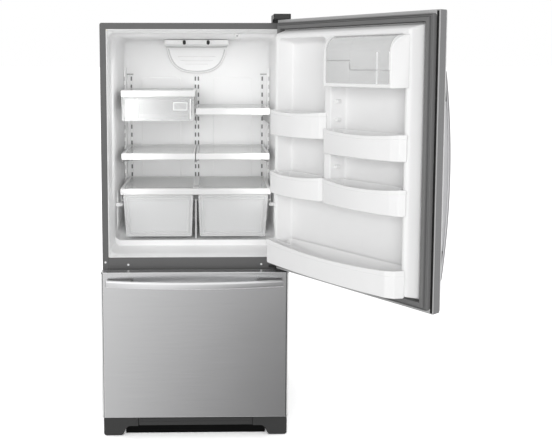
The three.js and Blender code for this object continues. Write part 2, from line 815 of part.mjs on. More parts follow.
function crisperCover() {
  const front = shelfFront;
  const inside = coverHalf - bracketThick;
  const railFront = front + trimDepth + 8;
  const railRear = shelfRear - 5;
  let cover = join(
    block(-coverHalf, coverHalf, front, shelfRear, coverTop - coverPlate, coverTop),
    block(-coverHalf, coverHalf, front, front + 13, coverTop - coverTrim, coverTop),
    block(-supportHalf, supportHalf, railFront + 14, railRear, riserTop + gap, coverTop - 1),
    block(-crisperTopInner + 1, crisperTopInner - 1, railFront + 14, railRear,
      crisperRunner - runnerSheet, crisperRunner),
  );
  for (const side of [-1, 1]) {
    const wall = block(inside, coverHalf, railFront, railRear, coverBearing, coverTop - 1);
    const foot = block(crisperTopOuter + 1, inside + 1, railFront, railRear,
      crisperRunner - runnerSheet, crisperRunner);
    const flank = join(wall, foot);
    cover = join(cover, side < 0 ? mirrorX(flank) : flank);
  }
  return cover;
}

function crisper(side) {
  const front = shelfFront + 3;
  const back = front + drawerFrontThick;
  const lip = crisperRunner + gap;
  const top = lip + 3;
  const section = (wall) => [
    [crisperTopInner + wall, top + (wall ? 1 : 0)],
    [crisperTopInner + crisperTaper / 2 + wall, crisperBottom + wall],
    [crisperTopOuter - crisperTaper - wall, crisperBottom + wall],
    [crisperTopOuter - wall, top + (wall ? 1 : 0)],
  ];
  const face = [
    [crisperTopInner - 6, coverTop - coverTrim - 1], [crisperTopInner, crisperBottom - 2],
    [crisperTopOuter - 9, crisperBottom - 2], [crisperTopOuter + 4, coverTop - coverTrim - 1],
  ];
  const flangeFront = shelfFront + trimDepth + 26;
  const box = join(
    cut(prismXZ(section(0), back - 1, crisperRear),
      prismXZ(section(drawerWall), back + 1, crisperRear - drawerWall)),
    prismXZ(face, front, back),
    block(supportHalf + gap, crisperTopInner + 2, flangeFront, crisperRear, lip, top),
    block(crisperTopOuter - 2, coverHalf - bracketThick - gap, flangeFront, crisperRear, lip, top),
  );
  return side < 0 ? mirrorX(box) : box;
}

// ---------------------------------------------------------------- steel fronts shared by both

// a steel pan with turned edges; holes are where the hinge pins enter
function frontPan(bottom, top) {
  const outline = new THREE.Shape();
  outline.moveTo(-frontHalf, panBack);
  outline.lineTo(-frontHalf, -frontFace + frontCorner);
  outline.quadraticCurveTo(-frontHalf, -frontFace, -frontHalf + frontCorner, -frontFace);
  outline.lineTo(frontHalf - frontCorner, -frontFace);
  outline.quadraticCurveTo(frontHalf, -frontFace, frontHalf, -frontFace + frontCorner);
  outline.lineTo(frontHalf, panBack);
  outline.closePath();
  const points = cornersOf(outline, 4);
  const core = inset(points, steel).map(([x, y]) => [x, y > panBack - 2 * steel ? panBack + 1 : y]);
  return cut(prismXY(points, bottom, top), prismXY(core, bottom + steel, top - steel));
}

function frontCore(bottom, top) {
  const half = frontHalf - steel - gap;
  const face = -frontFace + steel + gap;
  const chamfer = frontCorner * 0.7;
  const outline = [
    [-half, flangePlane], [-half, face + chamfer], [-half + chamfer, face],
    [half - chamfer, face], [half, face + chamfer], [half, flangePlane],
  ];
  return prismXY(outline, bottom + steel + gap, top - steel - gap);
}

function frontGasket(bottom, top) {
  const ring = (outer, width, y0, y1) => {
    const x = frontHalf - outer;
    const z0 = bottom + outer;
    const z1 = top - outer;
    return cut(
      prismXZ(roundedRectangle(-x, x, z0, z1, 8), y0, y1, 3),
      prismXZ(roundedRectangle(-x + width, x - width, z0 + width, z1 - width, 5), y0 - 1, y1 + 1, 3),
    );
  };
  const foot = gasketBack + gasketBase;
  return join(
    ring(gasketInset, gasketWidth, gasketBack, foot),
    ring(gasketInset + magnetInset, magnetWidth, foot - 1, -gasketSeat),
  );
}

// bowed bar handle on two end mounts; distances are along the bar and ahead of the front's face
const handleHalf = frontHalf - 24;
const handleHeight = 28;
const handleThick = 13;
const handleEnd = 29;            // the bar's outer face ahead of the front, at its ends
const handleMiddle = 65;         // and at its middle
const mountLength = 103;
const mountHeight = 22;
const drawerHandleZ = drawerTop - 39;
const doorHandleX = -frontHalf + 33;
const doorHandleClear = 96;      // from the door's lower edge up to its handle
const doorHandleZ = doorBottom + doorHandleClear + handleHalf;

function bow(along, back = 0) {
  const share = along / handleHalf;
  return -frontFace - handleEnd - (handleMiddle - handleEnd) * (1 - share * share) + back;
}

function bowPoints(from, to, steps, back) {
  return Array.from({ length: steps + 1 }, (_, i) => {
    const along = from + (to - from) * i / steps;
    return [along, bow(along, back)];
  });
}

const barOutline = () => [
  ...bowPoints(-handleHalf, handleHalf, 16, 0),
  ...bowPoints(handleHalf, -handleHalf, 16, handleThick),
];

function mountOutline(end) {
  const tip = end * (handleHalf - 4);
  const root = end * (handleHalf - mountLength);
  const face = -frontFace - gap;
  return [[root, face], [tip, face], ...bowPoints(tip, root, 4, handleThick + gap)];
}

const swap = (points) => points.map(([a, b]) => [b, a]);

function drawerBar(outline, height) {
  return prismXY(outline, drawerHandleZ - height / 2, drawerHandleZ + height / 2);
}

function doorBar(outline, height) {
  const raised = swap(outline).map(([y, z]) => [y, z + doorHandleZ]);
  return prismYZ(raised, doorHandleX - height / 2, doorHandleX + height / 2);
}

// ---------------------------------------------------------------- door

function doorLiner() {
  const rim = frontHalf - dykeInset;
  const crest = rim - dykeDraft;
  const low = doorBottom + dykeInset;
  const high = doorTop - dykeInset;
  const rimSolid = loft([
    { y: flangePlane - 2, x0: -rim, x1: rim, z0: low, z1: high, r: 14 },
    { y: dykeHeight - 8, x0: -crest - 2, x1: crest + 2, z0: low + dykeDraft - 2,
      z1: high - dykeDraft + 2, r: 22 },
    { y: dykeHeight, x0: -crest + 6, x1: crest - 6, z0: low + dykeDraft + 6,
      z1: high - dykeDraft - 6, r: 18 },
  ]);
  const recess = (x0, x1, z0, z1) => loft([
    { y: -recessFloor, x0: x0 + recessDraft + 7, x1: x1 - recessDraft - 7,
      z0: z0 + recessDraft + 7, z1: z1 - recessDraft - 7, r: 14 },
    { y: -recessFloor + 8, x0: x0 + recessDraft, x1: x1 - recessDraft, z0: z0 + recessDraft,
      z1: z1 - recessDraft, r: 18 },
    { y: dykeHeight + 1, x0, x1, z0, z1, r: 18 },
  ]);
  const side = crest - dykeRim;
  const floor = low + dykeDraft + dykeRim - 6;
  const ceiling = high - dykeDraft - dykeRim;
  const dividerLeft = dividerCentre - dividerWidth / 2;
  const dividerRight = dividerCentre + dividerWidth / 2;
  const shared = 90;             // the columns' recesses run this far into the one below
  const pinHole = (z0, z1) => rod('z', hingePinRadius + 1, z0, z1, hingeX, hingeY, 16);
  return cut(
    join(frontCore(doorBottom, doorTop), rimSolid),
    recess(-side, side, floor, dividerBottom),
    recess(-side, dividerLeft, dividerBottom - shared, ceiling),
    recess(dividerRight, side, dividerBottom - shared, ceiling),
    pinHole(doorTop - hingePinReach - 3, doorTop + 1),
    pinHole(doorBottom - 1, doorBottom + hingePinReach + 3),
  );
}

function doorPanel() {
  const hole = (z0, z1) => rod('z', hingePinRadius + 1, z0, z1, hingeX, hingeY, 16);
  return cut(frontPan(doorBottom, doorTop),
    hole(doorTop - steel - 1, doorTop + 1), hole(doorBottom - 1, doorBottom + steel + 1));
}

// door bins: ears seat on the rim's crest and the divider, the back part sits in the recess.
// One end is square, the other swept back so that it clears the cabinet as the door swings
const binSeat = dykeHeight + gap;
const binBack = -8;
const binEnd = 70;
const binBow = 93;
const binSweep = 46;
const binWall = 2.5;
const crestX = frontHalf - dykeInset - dykeDraft;
const columnSplit = dividerCentre;
// how far each bin's underside and rim hang below the dairy compartment, named as seen with the
// door open
const binDrops = {
  upperLeft: { underside: 192, rim: 96 },
  upperRight: { underside: 240, rim: 152 },
  middleLeft: { underside: 418, rim: 332 },
  middleRight: { underside: 420, rim: 332 },
};
const hung = ({ underside, rim }) => [dairyBottom - underside, dairyBottom - rim];
const recessSide = crestX - dykeRim;

function binOutline(left, right, backLeft, backRight, end, bowDepth) {
  const swept = left + binSweep;
  const steps = 8;
  const front = Array.from({ length: steps + 1 }, (_, i) => {
    const t = i / steps;
    const rise = (bowDepth - end) * (1 - (2 * t - 1) ** 2);
    return [right + (swept - right) * t, end + (bowDepth - end) * 0.45 * t + rise * 0.8];
  });
  const corner = front[steps][1];
  return [
    [backLeft, binBack], [backRight, binBack], [backRight, binSeat], [right, binSeat],
    ...front,
    [left + binSweep * 0.35, corner - (corner - binSeat) * 0.3], [left, binSeat + 6],
    [left, binSeat], [backLeft, binSeat],
  ];
}

function doorBin(left, right, bottom, top) {
  const spare = recessDraft + 1;
  const backLeft = Math.max(-recessSide, left < columnSplit ? -recessSide
    : columnSplit + dividerWidth / 2) + spare;
  const backRight = (left < columnSplit ? columnSplit - dividerWidth / 2 : recessSide) - spare;
  return tray(binOutline(left, right, backLeft, backRight, binEnd, binBow), bottom, top, binWall);
}

const splitLeft = columnSplit - 0.8;
const splitRight = columnSplit + 0.8;
const bottomBinRaise = 55;
const bottomBinHeight = 94;
const bottomBinLow = doorBottom + bottomBinRaise;
const bottomBinTop = bottomBinLow + bottomBinHeight;
const bottomBinStep = bottomBinLow + 34;
const bottomBinEnd = 86;
const bottomBinBow = 108;

function bottomBin() {
  const spare = recessDraft + 10;
  const back = recessSide - spare;
  const outline = binOutline(-crestX, crestX, -back, back, bottomBinEnd, bottomBinBow);
  return cut(
    tray(outline, bottomBinLow, bottomBinTop, binWall),
    block(-frontHalf, frontHalf, -frontFace, binSeat, 0, bottomBinStep),
  ).add(cut(
    prismXY(outline, bottomBinLow, bottomBinStep + binWall),
    prismXY(inset(outline, binWall), bottomBinLow + binWall, bottomBinStep),
    block(-frontHalf, frontHalf, -frontFace, binSeat, 0, bottomBinStep),
    prismXY(inset(outline, binWall).map(([x, y]) => [x, Math.max(y, binSeat + binWall)]),
      bottomBinStep - 1, bottomBinStep + 10),
  ));
}

const dairyFloor = 12;
const dairySide = 11;
const dairyFront = 102;
const dairyArc = 55;
const coverSheet = 2.5;
const coverRecess = 1.5;         // the cover lies this far inside the side walls' edge

// the rounded front-to-top curve of the dairy compartment, moved in by a distance
function dairyCurve(moved, steps = 6) {
  const r = dairyArc - moved;
  return Array.from({ length: steps + 1 }, (_, i) => {
    const angle = i / steps * Math.PI / 2;
    return [dairyFront - dairyArc + r * Math.cos(angle), dairyTop - dairyArc + r * Math.sin(angle)];
  });
}

function dairyCompartment() {
  const profile = [[binSeat, dairyBottom], [dairyFront, dairyBottom], ...dairyCurve(0),
    [binSeat, dairyTop]];
  const whole = prismYZ(profile, -crestX, splitLeft);
  const space = block(-crestX + dairySide, splitLeft - dairySide, -1, dairyFront + 1,
    dairyBottom + dairyFloor, dairyTop + 1);
  const shelfBack = block(-recessSide + recessDraft + 1, columnSplit - dividerWidth / 2
    - recessDraft - 1, binBack, binSeat + 1, dairyBottom + 1, dairyBottom + dairyFloor);
  return join(cut(whole, space), shelfBack);
}

function dairyCover() {
  const low = dairyBottom + dairyFloor + gap;
  const outside = dairyFront - coverRecess;
  const profile = [[outside, low], ...dairyCurve(coverRecess),
    ...dairyCurve(coverRecess + coverSheet).reverse(), [outside - coverSheet, low]];
  const half = dairySide + gap;
  return prismYZ(profile, -crestX + half, splitLeft - half);
}

// ---------------------------------------------------------------- freezer drawer

const plugInset = 46;            // the drawer's inner face stands inside the gasket
const plugPlane = -5;

function drawerLiner() {
  const rim = frontHalf - plugInset;
  const low = drawerBottom + plugInset;
  const high = drawerTop - plugInset;
  return join(frontCore(drawerBottom, drawerTop), loft([
    { y: flangePlane - 2, x0: -rim, x1: rim, z0: low, z1: high, r: 12 },
    { y: plugPlane - 4, x0: -rim + 6, x1: rim - 6, z0: low + 6, z1: high - 6, r: 16 },
    { y: plugPlane, x0: -rim + 12, x1: rim - 12, z0: low + 12, z1: high - 12, r: 14 },
  ]));
}

const railZ = 440;
const railHalf = 17;             // half height of the sliding bar
const railSheet = 2.5;
const railOuter = cavityHalf - sideWallDraft - gap;
const railInner = railOuter - 16.7;
const railFront = 20;
const railRear = 520;
const slideInner = railInner - 6;
const slideRear = 480;
const ledge = 10;
const ledgeStop = 100;           // the basket's ledge ends this far short of the slide's end
const basketOuter = slideInner - gap;

function freezerRail(side) {
  const low = railZ - railHalf - gap;
  const high = railZ + railHalf + gap;
  const section = join(
    block(railOuter - railSheet, railOuter, railFront, railRear, low - railSheet, high + railSheet),
    block(railInner, railOuter, railFront, railRear, low - railSheet, low),
    block(railInner, railOuter, railFront, railRear, high, high + railSheet),
  );
  return side < 0 ? mirrorX(section) : section;
}

function drawerSlide(side) {
  const outer = railOuter - railSheet - gap;
  const low = railZ - railHalf;
  const bar = join(
    block(slideInner, outer, plugPlane + gap, slideRear, low, railZ + railHalf),
    block(slideInner - ledge, slideInner + 1, plugPlane + gap, slideRear - ledgeStop, low, low + 3),
  );
  return side < 0 ? mirrorX(bar) : bar;
}

const basketFront = 14;
const basketRear = 350;
const basketBottom = 150;
const basketWall = 3;
const basketRim = railZ - railHalf + 3 + gap;

function freezerBasket() {
  const half = slideInner - ledge - gap;
  const outline = [[-half, basketFront], [half, basketFront], [half, basketRear],
    [-half, basketRear]];
  return join(
    tray(outline, basketBottom, basketRim + 4, basketWall),
    block(half - 1, basketOuter, basketFront, basketRear, basketRim, basketRim + 4),
    block(-basketOuter, -half + 1, basketFront, basketRear, basketRim, basketRim + 4),
  );
}

const trayDepth = 170;
const trayDrop = 70;

function freezerTray() {
  const half = slideInner - ledge - gap - basketWall - 3;
  const y0 = basketFront + basketWall + 2;
  const rest = basketRim + 4 + gap;
  const outline = [[-half, y0], [half, y0], [half, y0 + trayDepth], [-half, y0 + trayDepth]];
  return join(
    tray(outline, rest - trayDrop, rest + 3, basketWall),
    block(half - 1, basketOuter - 2, y0, y0 + trayDepth, rest, rest + 3),
    block(-basketOuter + 2, -half + 1, y0, y0 + trayDepth, rest, rest + 3),
  );
}

// ---------------------------------------------------------------- assembly

place('cabinet_shell', cabinetShell(), finish.cabinetGrey);
place('rear_panel', rearPanel(), finish.zinc);
place('insulation_foam', insulation(), finish.foam);
place('fridge_liner', fridgeLiner(), finish.whiteLiner);
place('freezer_liner', freezerLiner(), finish.whiteLiner);
place('centre_mullion', centreMullion(), finish.cabinetGrey);
place('base_pan', basePan(), finish.zinc);
place('base_grille', baseGrille(), finish.darkGrey);
place('leg_cover_left', legCover(-1), finish.darkGrey);
place('leg_cover_right', legCover(1), finish.darkGrey);
place('top_hinge_bracket', topHingeBracket(), finish.hingeGrey);
place('top_hinge_cover', topHingeCover(), finish.hingeGrey);
place('centre_hinge_bracket', centreHingeBracket(), finish.hingeGrey);
place('compressor', compressor(), finish.black);
place('condenser_fan', condenserFan(), finish.black);
place('levelling_leg_left', levellingLeg(-1), finish.rubber);
place('levelling_leg_right', levellingLeg(1), finish.rubber);
place('rear_roller_left', rearRoller(-1), finish.rubber);
place('rear_roller_right', rearRoller(1), finish.rubber);

place('control_housing', controlHousing(), finish.whiteTrim);
place('control_knob_left', controlKnob(-knobX), finish.black);
place('control_knob_right', controlKnob(knobX), finish.black);
place('light_switch', lightSwitch(), finish.whiteTrim);
place('air_diffuser', airDiffuser(), finish.whiteTrim);
place('shelf_track_left', shelfTrack(-sideTrackX, trackHalf, [0]), finish.whiteTrim);
place('shelf_track_centre', shelfTrack(0, 2 * trackHalf, [-trackHalf, trackHalf]),
  finish.whiteTrim);
place('shelf_track_right', shelfTrack(sideTrackX, trackHalf, [0]), finish.whiteTrim);
place('shelf_upper_left', deliShelf(), finish.whiteTrim);
place('shelf_upper_right', shelf(1, shelfTops.upperRight, shelfNose), finish.whiteTrim);
place('shelf_middle_left', shelf(-1, shelfTops.middle, shelfNose), finish.whiteTrim);
place('shelf_middle_right', shelf(1, shelfTops.middle, shelfNose), finish.whiteTrim);
place('deli_drawer', deliDrawer(), finish.clear);
place('crisper_cover', crisperCover(), finish.whiteTrim);
place('crisper_left', crisper(-1), finish.clear);
place('crisper_right', crisper(1), finish.clear);

place('door_panel', doorPanel(), finish.stainless, door);
place('door_liner', doorLiner(), finish.whiteLiner, door);
place('door_gasket', frontGasket(doorBottom, doorTop), finish.gasket, door);
place('door_handle', doorBar(barOutline(), handleHeight), finish.stainless, door);
place('door_handle_mount_upper', doorBar(mountOutline(1), mountHeight), finish.mount, door);
place('door_handle_mount_lower', doorBar(mountOutline(-1), mountHeight), finish.mount, door);
place('dairy_compartment', dairyCompartment(), finish.whiteTrim, door);
place('dairy_cover', dairyCover(), finish.clear, door);
place('bin_upper_left', doorBin(splitRight, crestX, ...hung(binDrops.upperLeft)),
  finish.whiteTrim, door);
place('bin_upper_right', doorBin(-crestX, splitLeft, ...hung(binDrops.upperRight)),
  finish.whiteTrim, door);
place('bin_middle_left', doorBin(splitRight, crestX, ...hung(binDrops.middleLeft)),
  finish.whiteTrim, door);
place('bin_middle_right', doorBin(-crestX, splitLeft, ...hung(binDrops.middleRight)),
  finish.whiteTrim, door);
place('bin_bottom', bottomBin(), finish.whiteTrim, door);

place('drawer_panel', frontPan(drawerBottom, drawerTop), finish.stainless);
place('drawer_liner', drawerLiner(), finish.whiteLiner);
place('drawer_gasket', frontGasket(drawerBottom, drawerTop), finish.gasket);
place('drawer_handle', drawerBar(barOutline(), handleHeight), finish.stainless);
place('drawer_handle_mount_left', drawerBar(mountOutline(-1), mountHeight), finish.mount);
place('drawer_handle_mount_right', drawerBar(mountOutline(1), mountHeight), finish.mount);
place('freezer_rail_left', freezerRail(-1), finish.zinc);
place('freezer_rail_right', freezerRail(1), finish.zinc);
place('drawer_slide_left', drawerSlide(-1), finish.zinc);
place('drawer_slide_right', drawerSlide(1), finish.zinc);
place('freezer_basket', freezerBasket(), finish.whiteTrim);
place('freezer_tray', freezerTray(), finish.whiteTrim);

// the door turns about its pins to the pictured angle
for (const piece of door.children) {
  piece.position.set(-hingeX, -hingeY, 0);
}
door.position.set(hingeX, hingeY, 0);
door.rotation.z = doorOpenDegrees * Math.PI / 180;

// origin: on the floor, under the middle of the open refrigerator's bounding box
refrigerator.updateMatrixWorld(true);
const bounds = new THREE.Box3().setFromObject(refrigerator, true);
const middle = bounds.getCenter(new THREE.Vector3());
refrigerator.position.set(-middle.x, -middle.y, -bounds.min.z);
refrigerator.updateMatrixWorld(true);

const hingePlace = door.getWorldPosition(new THREE.Vector3());
console.log('hinge axis at', hingePlace.x.toFixed(3), hingePlace.y.toFixed(3));
console.log('pieces', refrigerator.children.length - 1 + door.children.length);

export default refrigerator;
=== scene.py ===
# %% [markdown]
# # A bottom freezer refrigerator, dressed for the camera
#
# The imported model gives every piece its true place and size. This script gives each piece the
# shape of its moulding, folding or casting and a surface to match: rounded edges, draft on the
# mouldings, brushed steel, vinyl seals and frosted plastic. Lengths are in metres.
#
# Each text says what a piece is on the real appliance, how it could be made in Blender and why it
# is made this way. The code after it makes the piece and prints something to check it by.

import json
import math

import bmesh
import bpy
from mathutils import Matrix, Vector
from mathutils.geometry import tessellate_polygon

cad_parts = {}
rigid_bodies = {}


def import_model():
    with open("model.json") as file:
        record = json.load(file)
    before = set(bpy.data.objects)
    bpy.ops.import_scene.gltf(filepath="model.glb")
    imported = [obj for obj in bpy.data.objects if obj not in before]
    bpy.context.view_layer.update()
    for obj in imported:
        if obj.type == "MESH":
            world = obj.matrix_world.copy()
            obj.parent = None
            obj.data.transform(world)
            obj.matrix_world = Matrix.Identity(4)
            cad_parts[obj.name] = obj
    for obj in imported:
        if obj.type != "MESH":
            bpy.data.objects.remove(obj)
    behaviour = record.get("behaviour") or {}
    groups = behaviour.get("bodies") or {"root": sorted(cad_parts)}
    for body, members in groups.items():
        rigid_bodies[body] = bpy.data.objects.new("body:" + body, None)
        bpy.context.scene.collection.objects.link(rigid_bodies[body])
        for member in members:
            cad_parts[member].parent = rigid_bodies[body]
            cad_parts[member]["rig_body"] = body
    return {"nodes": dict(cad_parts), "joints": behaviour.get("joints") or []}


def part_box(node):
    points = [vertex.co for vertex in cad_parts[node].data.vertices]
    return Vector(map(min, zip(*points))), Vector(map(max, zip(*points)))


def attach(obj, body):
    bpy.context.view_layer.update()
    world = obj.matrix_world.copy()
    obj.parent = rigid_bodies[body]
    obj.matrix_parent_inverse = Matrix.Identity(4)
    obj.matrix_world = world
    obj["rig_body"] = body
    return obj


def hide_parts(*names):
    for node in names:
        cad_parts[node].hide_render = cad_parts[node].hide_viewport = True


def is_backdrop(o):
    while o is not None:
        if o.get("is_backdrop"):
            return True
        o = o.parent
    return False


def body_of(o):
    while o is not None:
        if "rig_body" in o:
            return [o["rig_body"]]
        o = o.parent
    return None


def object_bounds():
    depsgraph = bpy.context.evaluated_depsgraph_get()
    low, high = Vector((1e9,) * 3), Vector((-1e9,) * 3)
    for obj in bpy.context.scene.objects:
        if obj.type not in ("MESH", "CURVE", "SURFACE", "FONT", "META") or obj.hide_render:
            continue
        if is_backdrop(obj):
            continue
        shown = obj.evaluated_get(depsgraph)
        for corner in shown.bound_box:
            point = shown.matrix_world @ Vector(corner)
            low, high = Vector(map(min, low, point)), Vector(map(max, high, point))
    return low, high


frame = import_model()
cad_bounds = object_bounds()
print("pieces in the frame:", len(frame["nodes"]))

# %% [markdown]
# Every part is easiest to think of in the cabinet's own terms: X across from its middle, Y back
# from its front face, Z up from the floor. The door could be drawn where it stands, but then none
# of its numbers would be square to anything. So it is drawn shut, in those same terms, and one
# matrix built from its hinge joint swings it to the angle it stands at.

# %% The cabinet's terms and the door's
cabinet_low, cabinet_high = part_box("cabinet_shell")
ORIGIN = Vector(((cabinet_low.x + cabinet_high.x) / 2, cabinet_low.y, 0))
CABINET = Matrix.Translation(ORIGIN)
door_joint = next(joint for joint in frame["joints"] if joint["name"] == "door_hinge")
hinge = Vector(door_joint["pos_m"]) - ORIGIN
hinge.z = 0
opening = math.radians(-door_joint["range_deg"][0])
DOOR = (CABINET @ Matrix.Translation(hinge) @ Matrix.Rotation(opening, 4, "Z")
        @ Matrix.Translation(-hinge))
ON_THE_DOOR = ("door", "dairy_cover")


def place_of(body_name):
    """The matrix that puts what is drawn for a body where that body stands."""
    return DOOR if body_name in ON_THE_DOOR else CABINET


def extent(node):
    """Lowest and highest corner of a node, in the cabinet's or the shut door's terms."""
    source = frame["nodes"][node]
    back = place_of(body_of(source)[0]).inverted()
    points = [back @ vertex.co for vertex in source.data.vertices]
    low = Vector(min(point[axis] for point in points) for axis in range(3))
    high = Vector(max(point[axis] for point in points) for axis in range(3))
    return low, high


shell_low, shell_high = extent("cabinet_shell")
print("cabinet", [round(size, 3) for size in shell_high - shell_low],
      "door opened by", round(math.degrees(opening), 1))

# %% [markdown]
# The camera comes first. The photograph was taken at eye height, about three metres away, with
# the lens axis well above the middle of the frame. A level camera would need a very large lens
# shift for that, so part of it is given by a slight downward tilt, and distance, height and focal
# length are then fitted so that the refrigerator's corners stay where the photograph has them.

# %% The camera
PHOTO_WIDTH = 552
PHOTO_HEIGHT = 448
SENSOR = 36.0
TILT = math.radians(5.0)
TURN = math.radians(-1.0)
FOCAL_PIXELS = 766.2
AXIS_X = 222.5                   # where the lens axis meets the photograph, in its pixels
AXIS_Y = 132.9
EYE = Vector((0.0580, -3.0773, 1.5213))

camera_data = bpy.data.cameras.new("camera")
camera_data.sensor_width = SENSOR
camera_data.lens = SENSOR * FOCAL_PIXELS / PHOTO_WIDTH
camera_data.shift_x = (PHOTO_WIDTH / 2 - AXIS_X) / PHOTO_WIDTH
camera_data.shift_y = (AXIS_Y - PHOTO_HEIGHT / 2) / PHOTO_WIDTH
camera = bpy.data.objects.new("camera", camera_data)
camera.location = ORIGIN + EYE
camera.rotation_euler = (math.radians(90) - TILT, 0, TURN)
bpy.context.scene.collection.objects.link(camera)
bpy.context.scene.camera = camera
print("lens", round(camera_data.lens, 2), "mm, shift", round(camera_data.shift_x, 3),
      round(camera_data.shift_y, 3))

# %% [markdown]
# ## Surfaces
#
# Materials are networks of nodes, and building one by hand repeats two acts: making a node and
# giving each of its inputs a value or a link. These helpers do both in one line.


# %% Small tools for node trees
def feed(tree, socket, value):
    """Sets an input to a value, or links it where the value is another node's output."""
    if isinstance(value, bpy.types.NodeSocket):
        tree.links.new(value, socket)
    else:
        socket.default_value = value


def add_node(tree, kind, **settings):
    """A new node, with its settings and its inputs given by name, _ standing for a space."""
    node = tree.nodes.new(kind)
    for key, value in settings.items():
        label = key.replace("_", " ")
        if label in node.inputs:
            feed(tree, node.inputs[label], value)
        else:
            setattr(node, key, value)
    return node


def reckon(tree, operation, first, second):
    """One sum of two values, each a number or another node's output."""
    node = add_node(tree, "ShaderNodeMath", operation=operation)
    feed(tree, node.inputs[0], first)
    feed(tree, node.inputs[1], second)
    return node.outputs[0]


def noise(tree, place, scale, detail):
    """Soft noise between 0 and 1, mostly near a half."""
    return add_node(tree, "ShaderNodeTexNoise", Vector=place, Scale=scale,
                    Detail=detail).outputs[0]


print("helpers for nodes: feed, add_node, reckon, noise")

# %% [markdown]
# Two effects come back in almost every material, so each is a node group made once, and each puts
# out the same three things: a colour, a roughness and a relief. Only what differs is then written
# for each group, and the shader itself stays in the material.


# %% What both groups share
def new_group(name, inputs):
    """An empty shader group with its named inputs and the three outputs of every finish."""
    tree = bpy.data.node_groups.new(name, "ShaderNodeTree")
    kinds = {1: "NodeSocketFloat", 3: "NodeSocketVector", 4: "NodeSocketColor"}
    for label, value in inputs.items():
        size = len(value) if isinstance(value, tuple) else 1
        socket = tree.interface.new_socket(name=label, in_out="INPUT", socket_type=kinds[size])
        socket.default_value = value
    for label, size in (("Colour", 4), ("Roughness", 1), ("Normal", 3)):
        tree.interface.new_socket(name=label, in_out="OUTPUT", socket_type=kinds[size])
    return tree, tree.nodes.new("NodeGroupInput").outputs, tree.nodes.new("NodeGroupOutput").inputs


def put_out(tree, given, out, swing, uneven, height, distance):
    """Ends a group: colour swung round its value, uneven gloss, and a relief from a height."""
    colour = add_node(tree, "ShaderNodeVectorMath", operation="SCALE", Vector=given["Colour"],
                      Scale=reckon(tree, "ADD", swing, 1.0))
    relief = add_node(tree, "ShaderNodeBump", Strength=given["Relief"], Distance=distance,
                      Height=height)
    feed(tree, out["Colour"], colour.outputs[0])
    feed(tree, out["Roughness"], reckon(tree, "ADD", given["Gloss"], uneven))
    feed(tree, out["Normal"], relief.outputs[0])


print("outputs of a finish: colour, roughness, relief")

# %% [markdown]
# Moulded plastic and enamel are never quite even: the colour drifts a little over a hand's width
# and the skin carries a fine orange peel. A photograph of a surface could give both, but noise
# needs no picture, has no seams and takes its size in metres.


# %% The moulded skin
def make_moulded_skin():
    """Colour that drifts over a hand's width, and the fine peel of a moulded or painted skin."""
    tree, given, out = new_group("moulded_skin", {
        "Colour": (0.8, 0.8, 0.8, 1), "Drift": 0.04, "Gloss": 0.35, "Grain size": 900.0,
        "Relief": 0.1})
    place = add_node(tree, "ShaderNodeTexCoord").outputs["Object"]
    drift = reckon(tree, "SUBTRACT", noise(tree, place, 7.0, 3.0), 0.5)
    peel = noise(tree, place, given["Grain size"], 2.0)
    put_out(tree, given, out, reckon(tree, "MULTIPLY", drift, given["Drift"]),
            reckon(tree, "MULTIPLY", drift, 0.12), peel, 0.0003)
    return tree


moulded_skin = make_moulded_skin()
print("group", moulded_skin.name, [item.name for item in moulded_skin.interface.items_tree])

# %% [markdown]
# Brushed steel is dragged under an abrasive belt, so its scratches are long and fine and all run
# one way. The same noise does for it once it is stretched: its coordinates are multiplied by a
# large number across the scratches and a small one along them. A second, cloudy noise is the
# unevenness that hands and cleaning leave in the gloss.


# %% The brushed grain
def make_brushed_grain():
    """Fine scratches drawn out along one axis, in colour, roughness and relief."""
    tree, given, out = new_group("brushed_grain", {
        "Colour": (0.6, 0.6, 0.6, 1), "Stretch": (1.0, 1.0, 1.0), "Streak": 0.1, "Gloss": 0.3,
        "Relief": 0.1})
    place = add_node(tree, "ShaderNodeTexCoord").outputs["Object"]
    dragged = add_node(tree, "ShaderNodeVectorMath", operation="MULTIPLY", Vector=place)
    feed(tree, dragged.inputs[1], given["Stretch"])
    scratches = noise(tree, dragged.outputs[0], 1.0, 4.0)
    streak = reckon(tree, "SUBTRACT", scratches, 0.5)
    cloud = reckon(tree, "SUBTRACT", noise(tree, place, 3.0, 2.0), 0.5)
    uneven = reckon(tree, "ADD", reckon(tree, "MULTIPLY", streak, 0.03),
                    reckon(tree, "MULTIPLY", cloud, 0.08))
    put_out(tree, given, out, reckon(tree, "MULTIPLY", streak, given["Streak"]), uneven,
            scratches, 0.0002)
    return tree


brushed_grain = make_brushed_grain()
print("group", brushed_grain.name, [item.name for item in brushed_grain.interface.items_tree])

# %% [markdown]
# A finish places one of the groups in a material of its own, in front of a Principled shader.
# What is the same all over the piece, such as how metallic it is, stays on the shader.


def finish(group, name, values, shader_values):
    """A material whose colour, roughness and relief come from a group with its own values."""
    material = bpy.data.materials.new(name)
    material.use_nodes = True
    tree = material.node_tree
    shader = tree.nodes["Principled BSDF"]
    surface = tree.nodes.new("ShaderNodeGroup")
    surface.node_tree = group
    for label, value in values.items():
        surface.inputs[label].default_value = value
    for label, target in (("Colour", "Base Color"), ("Roughness", "Roughness"),
                          ("Normal", "Normal")):
        tree.links.new(surface.outputs[label], shader.inputs[target])
    for key, value in shader_values.items():
        shader.inputs[key.replace("_", " ")].default_value = value
    return material


def plastic(name, slot, tone, gloss=0.35, drift=0.04, grain=900.0, relief=0.1, **shader_values):
    """A moulded or painted finish of one grey tone or one colour."""
    colour = (tone, tone, tone, 1) if isinstance(tone, float) else (*tone, 1)
    return finish(moulded_skin, name, {"Colour": colour, "Drift": drift, "Gloss": gloss,
                                             "Grain size": grain, "Relief": relief},
                  shader_values)


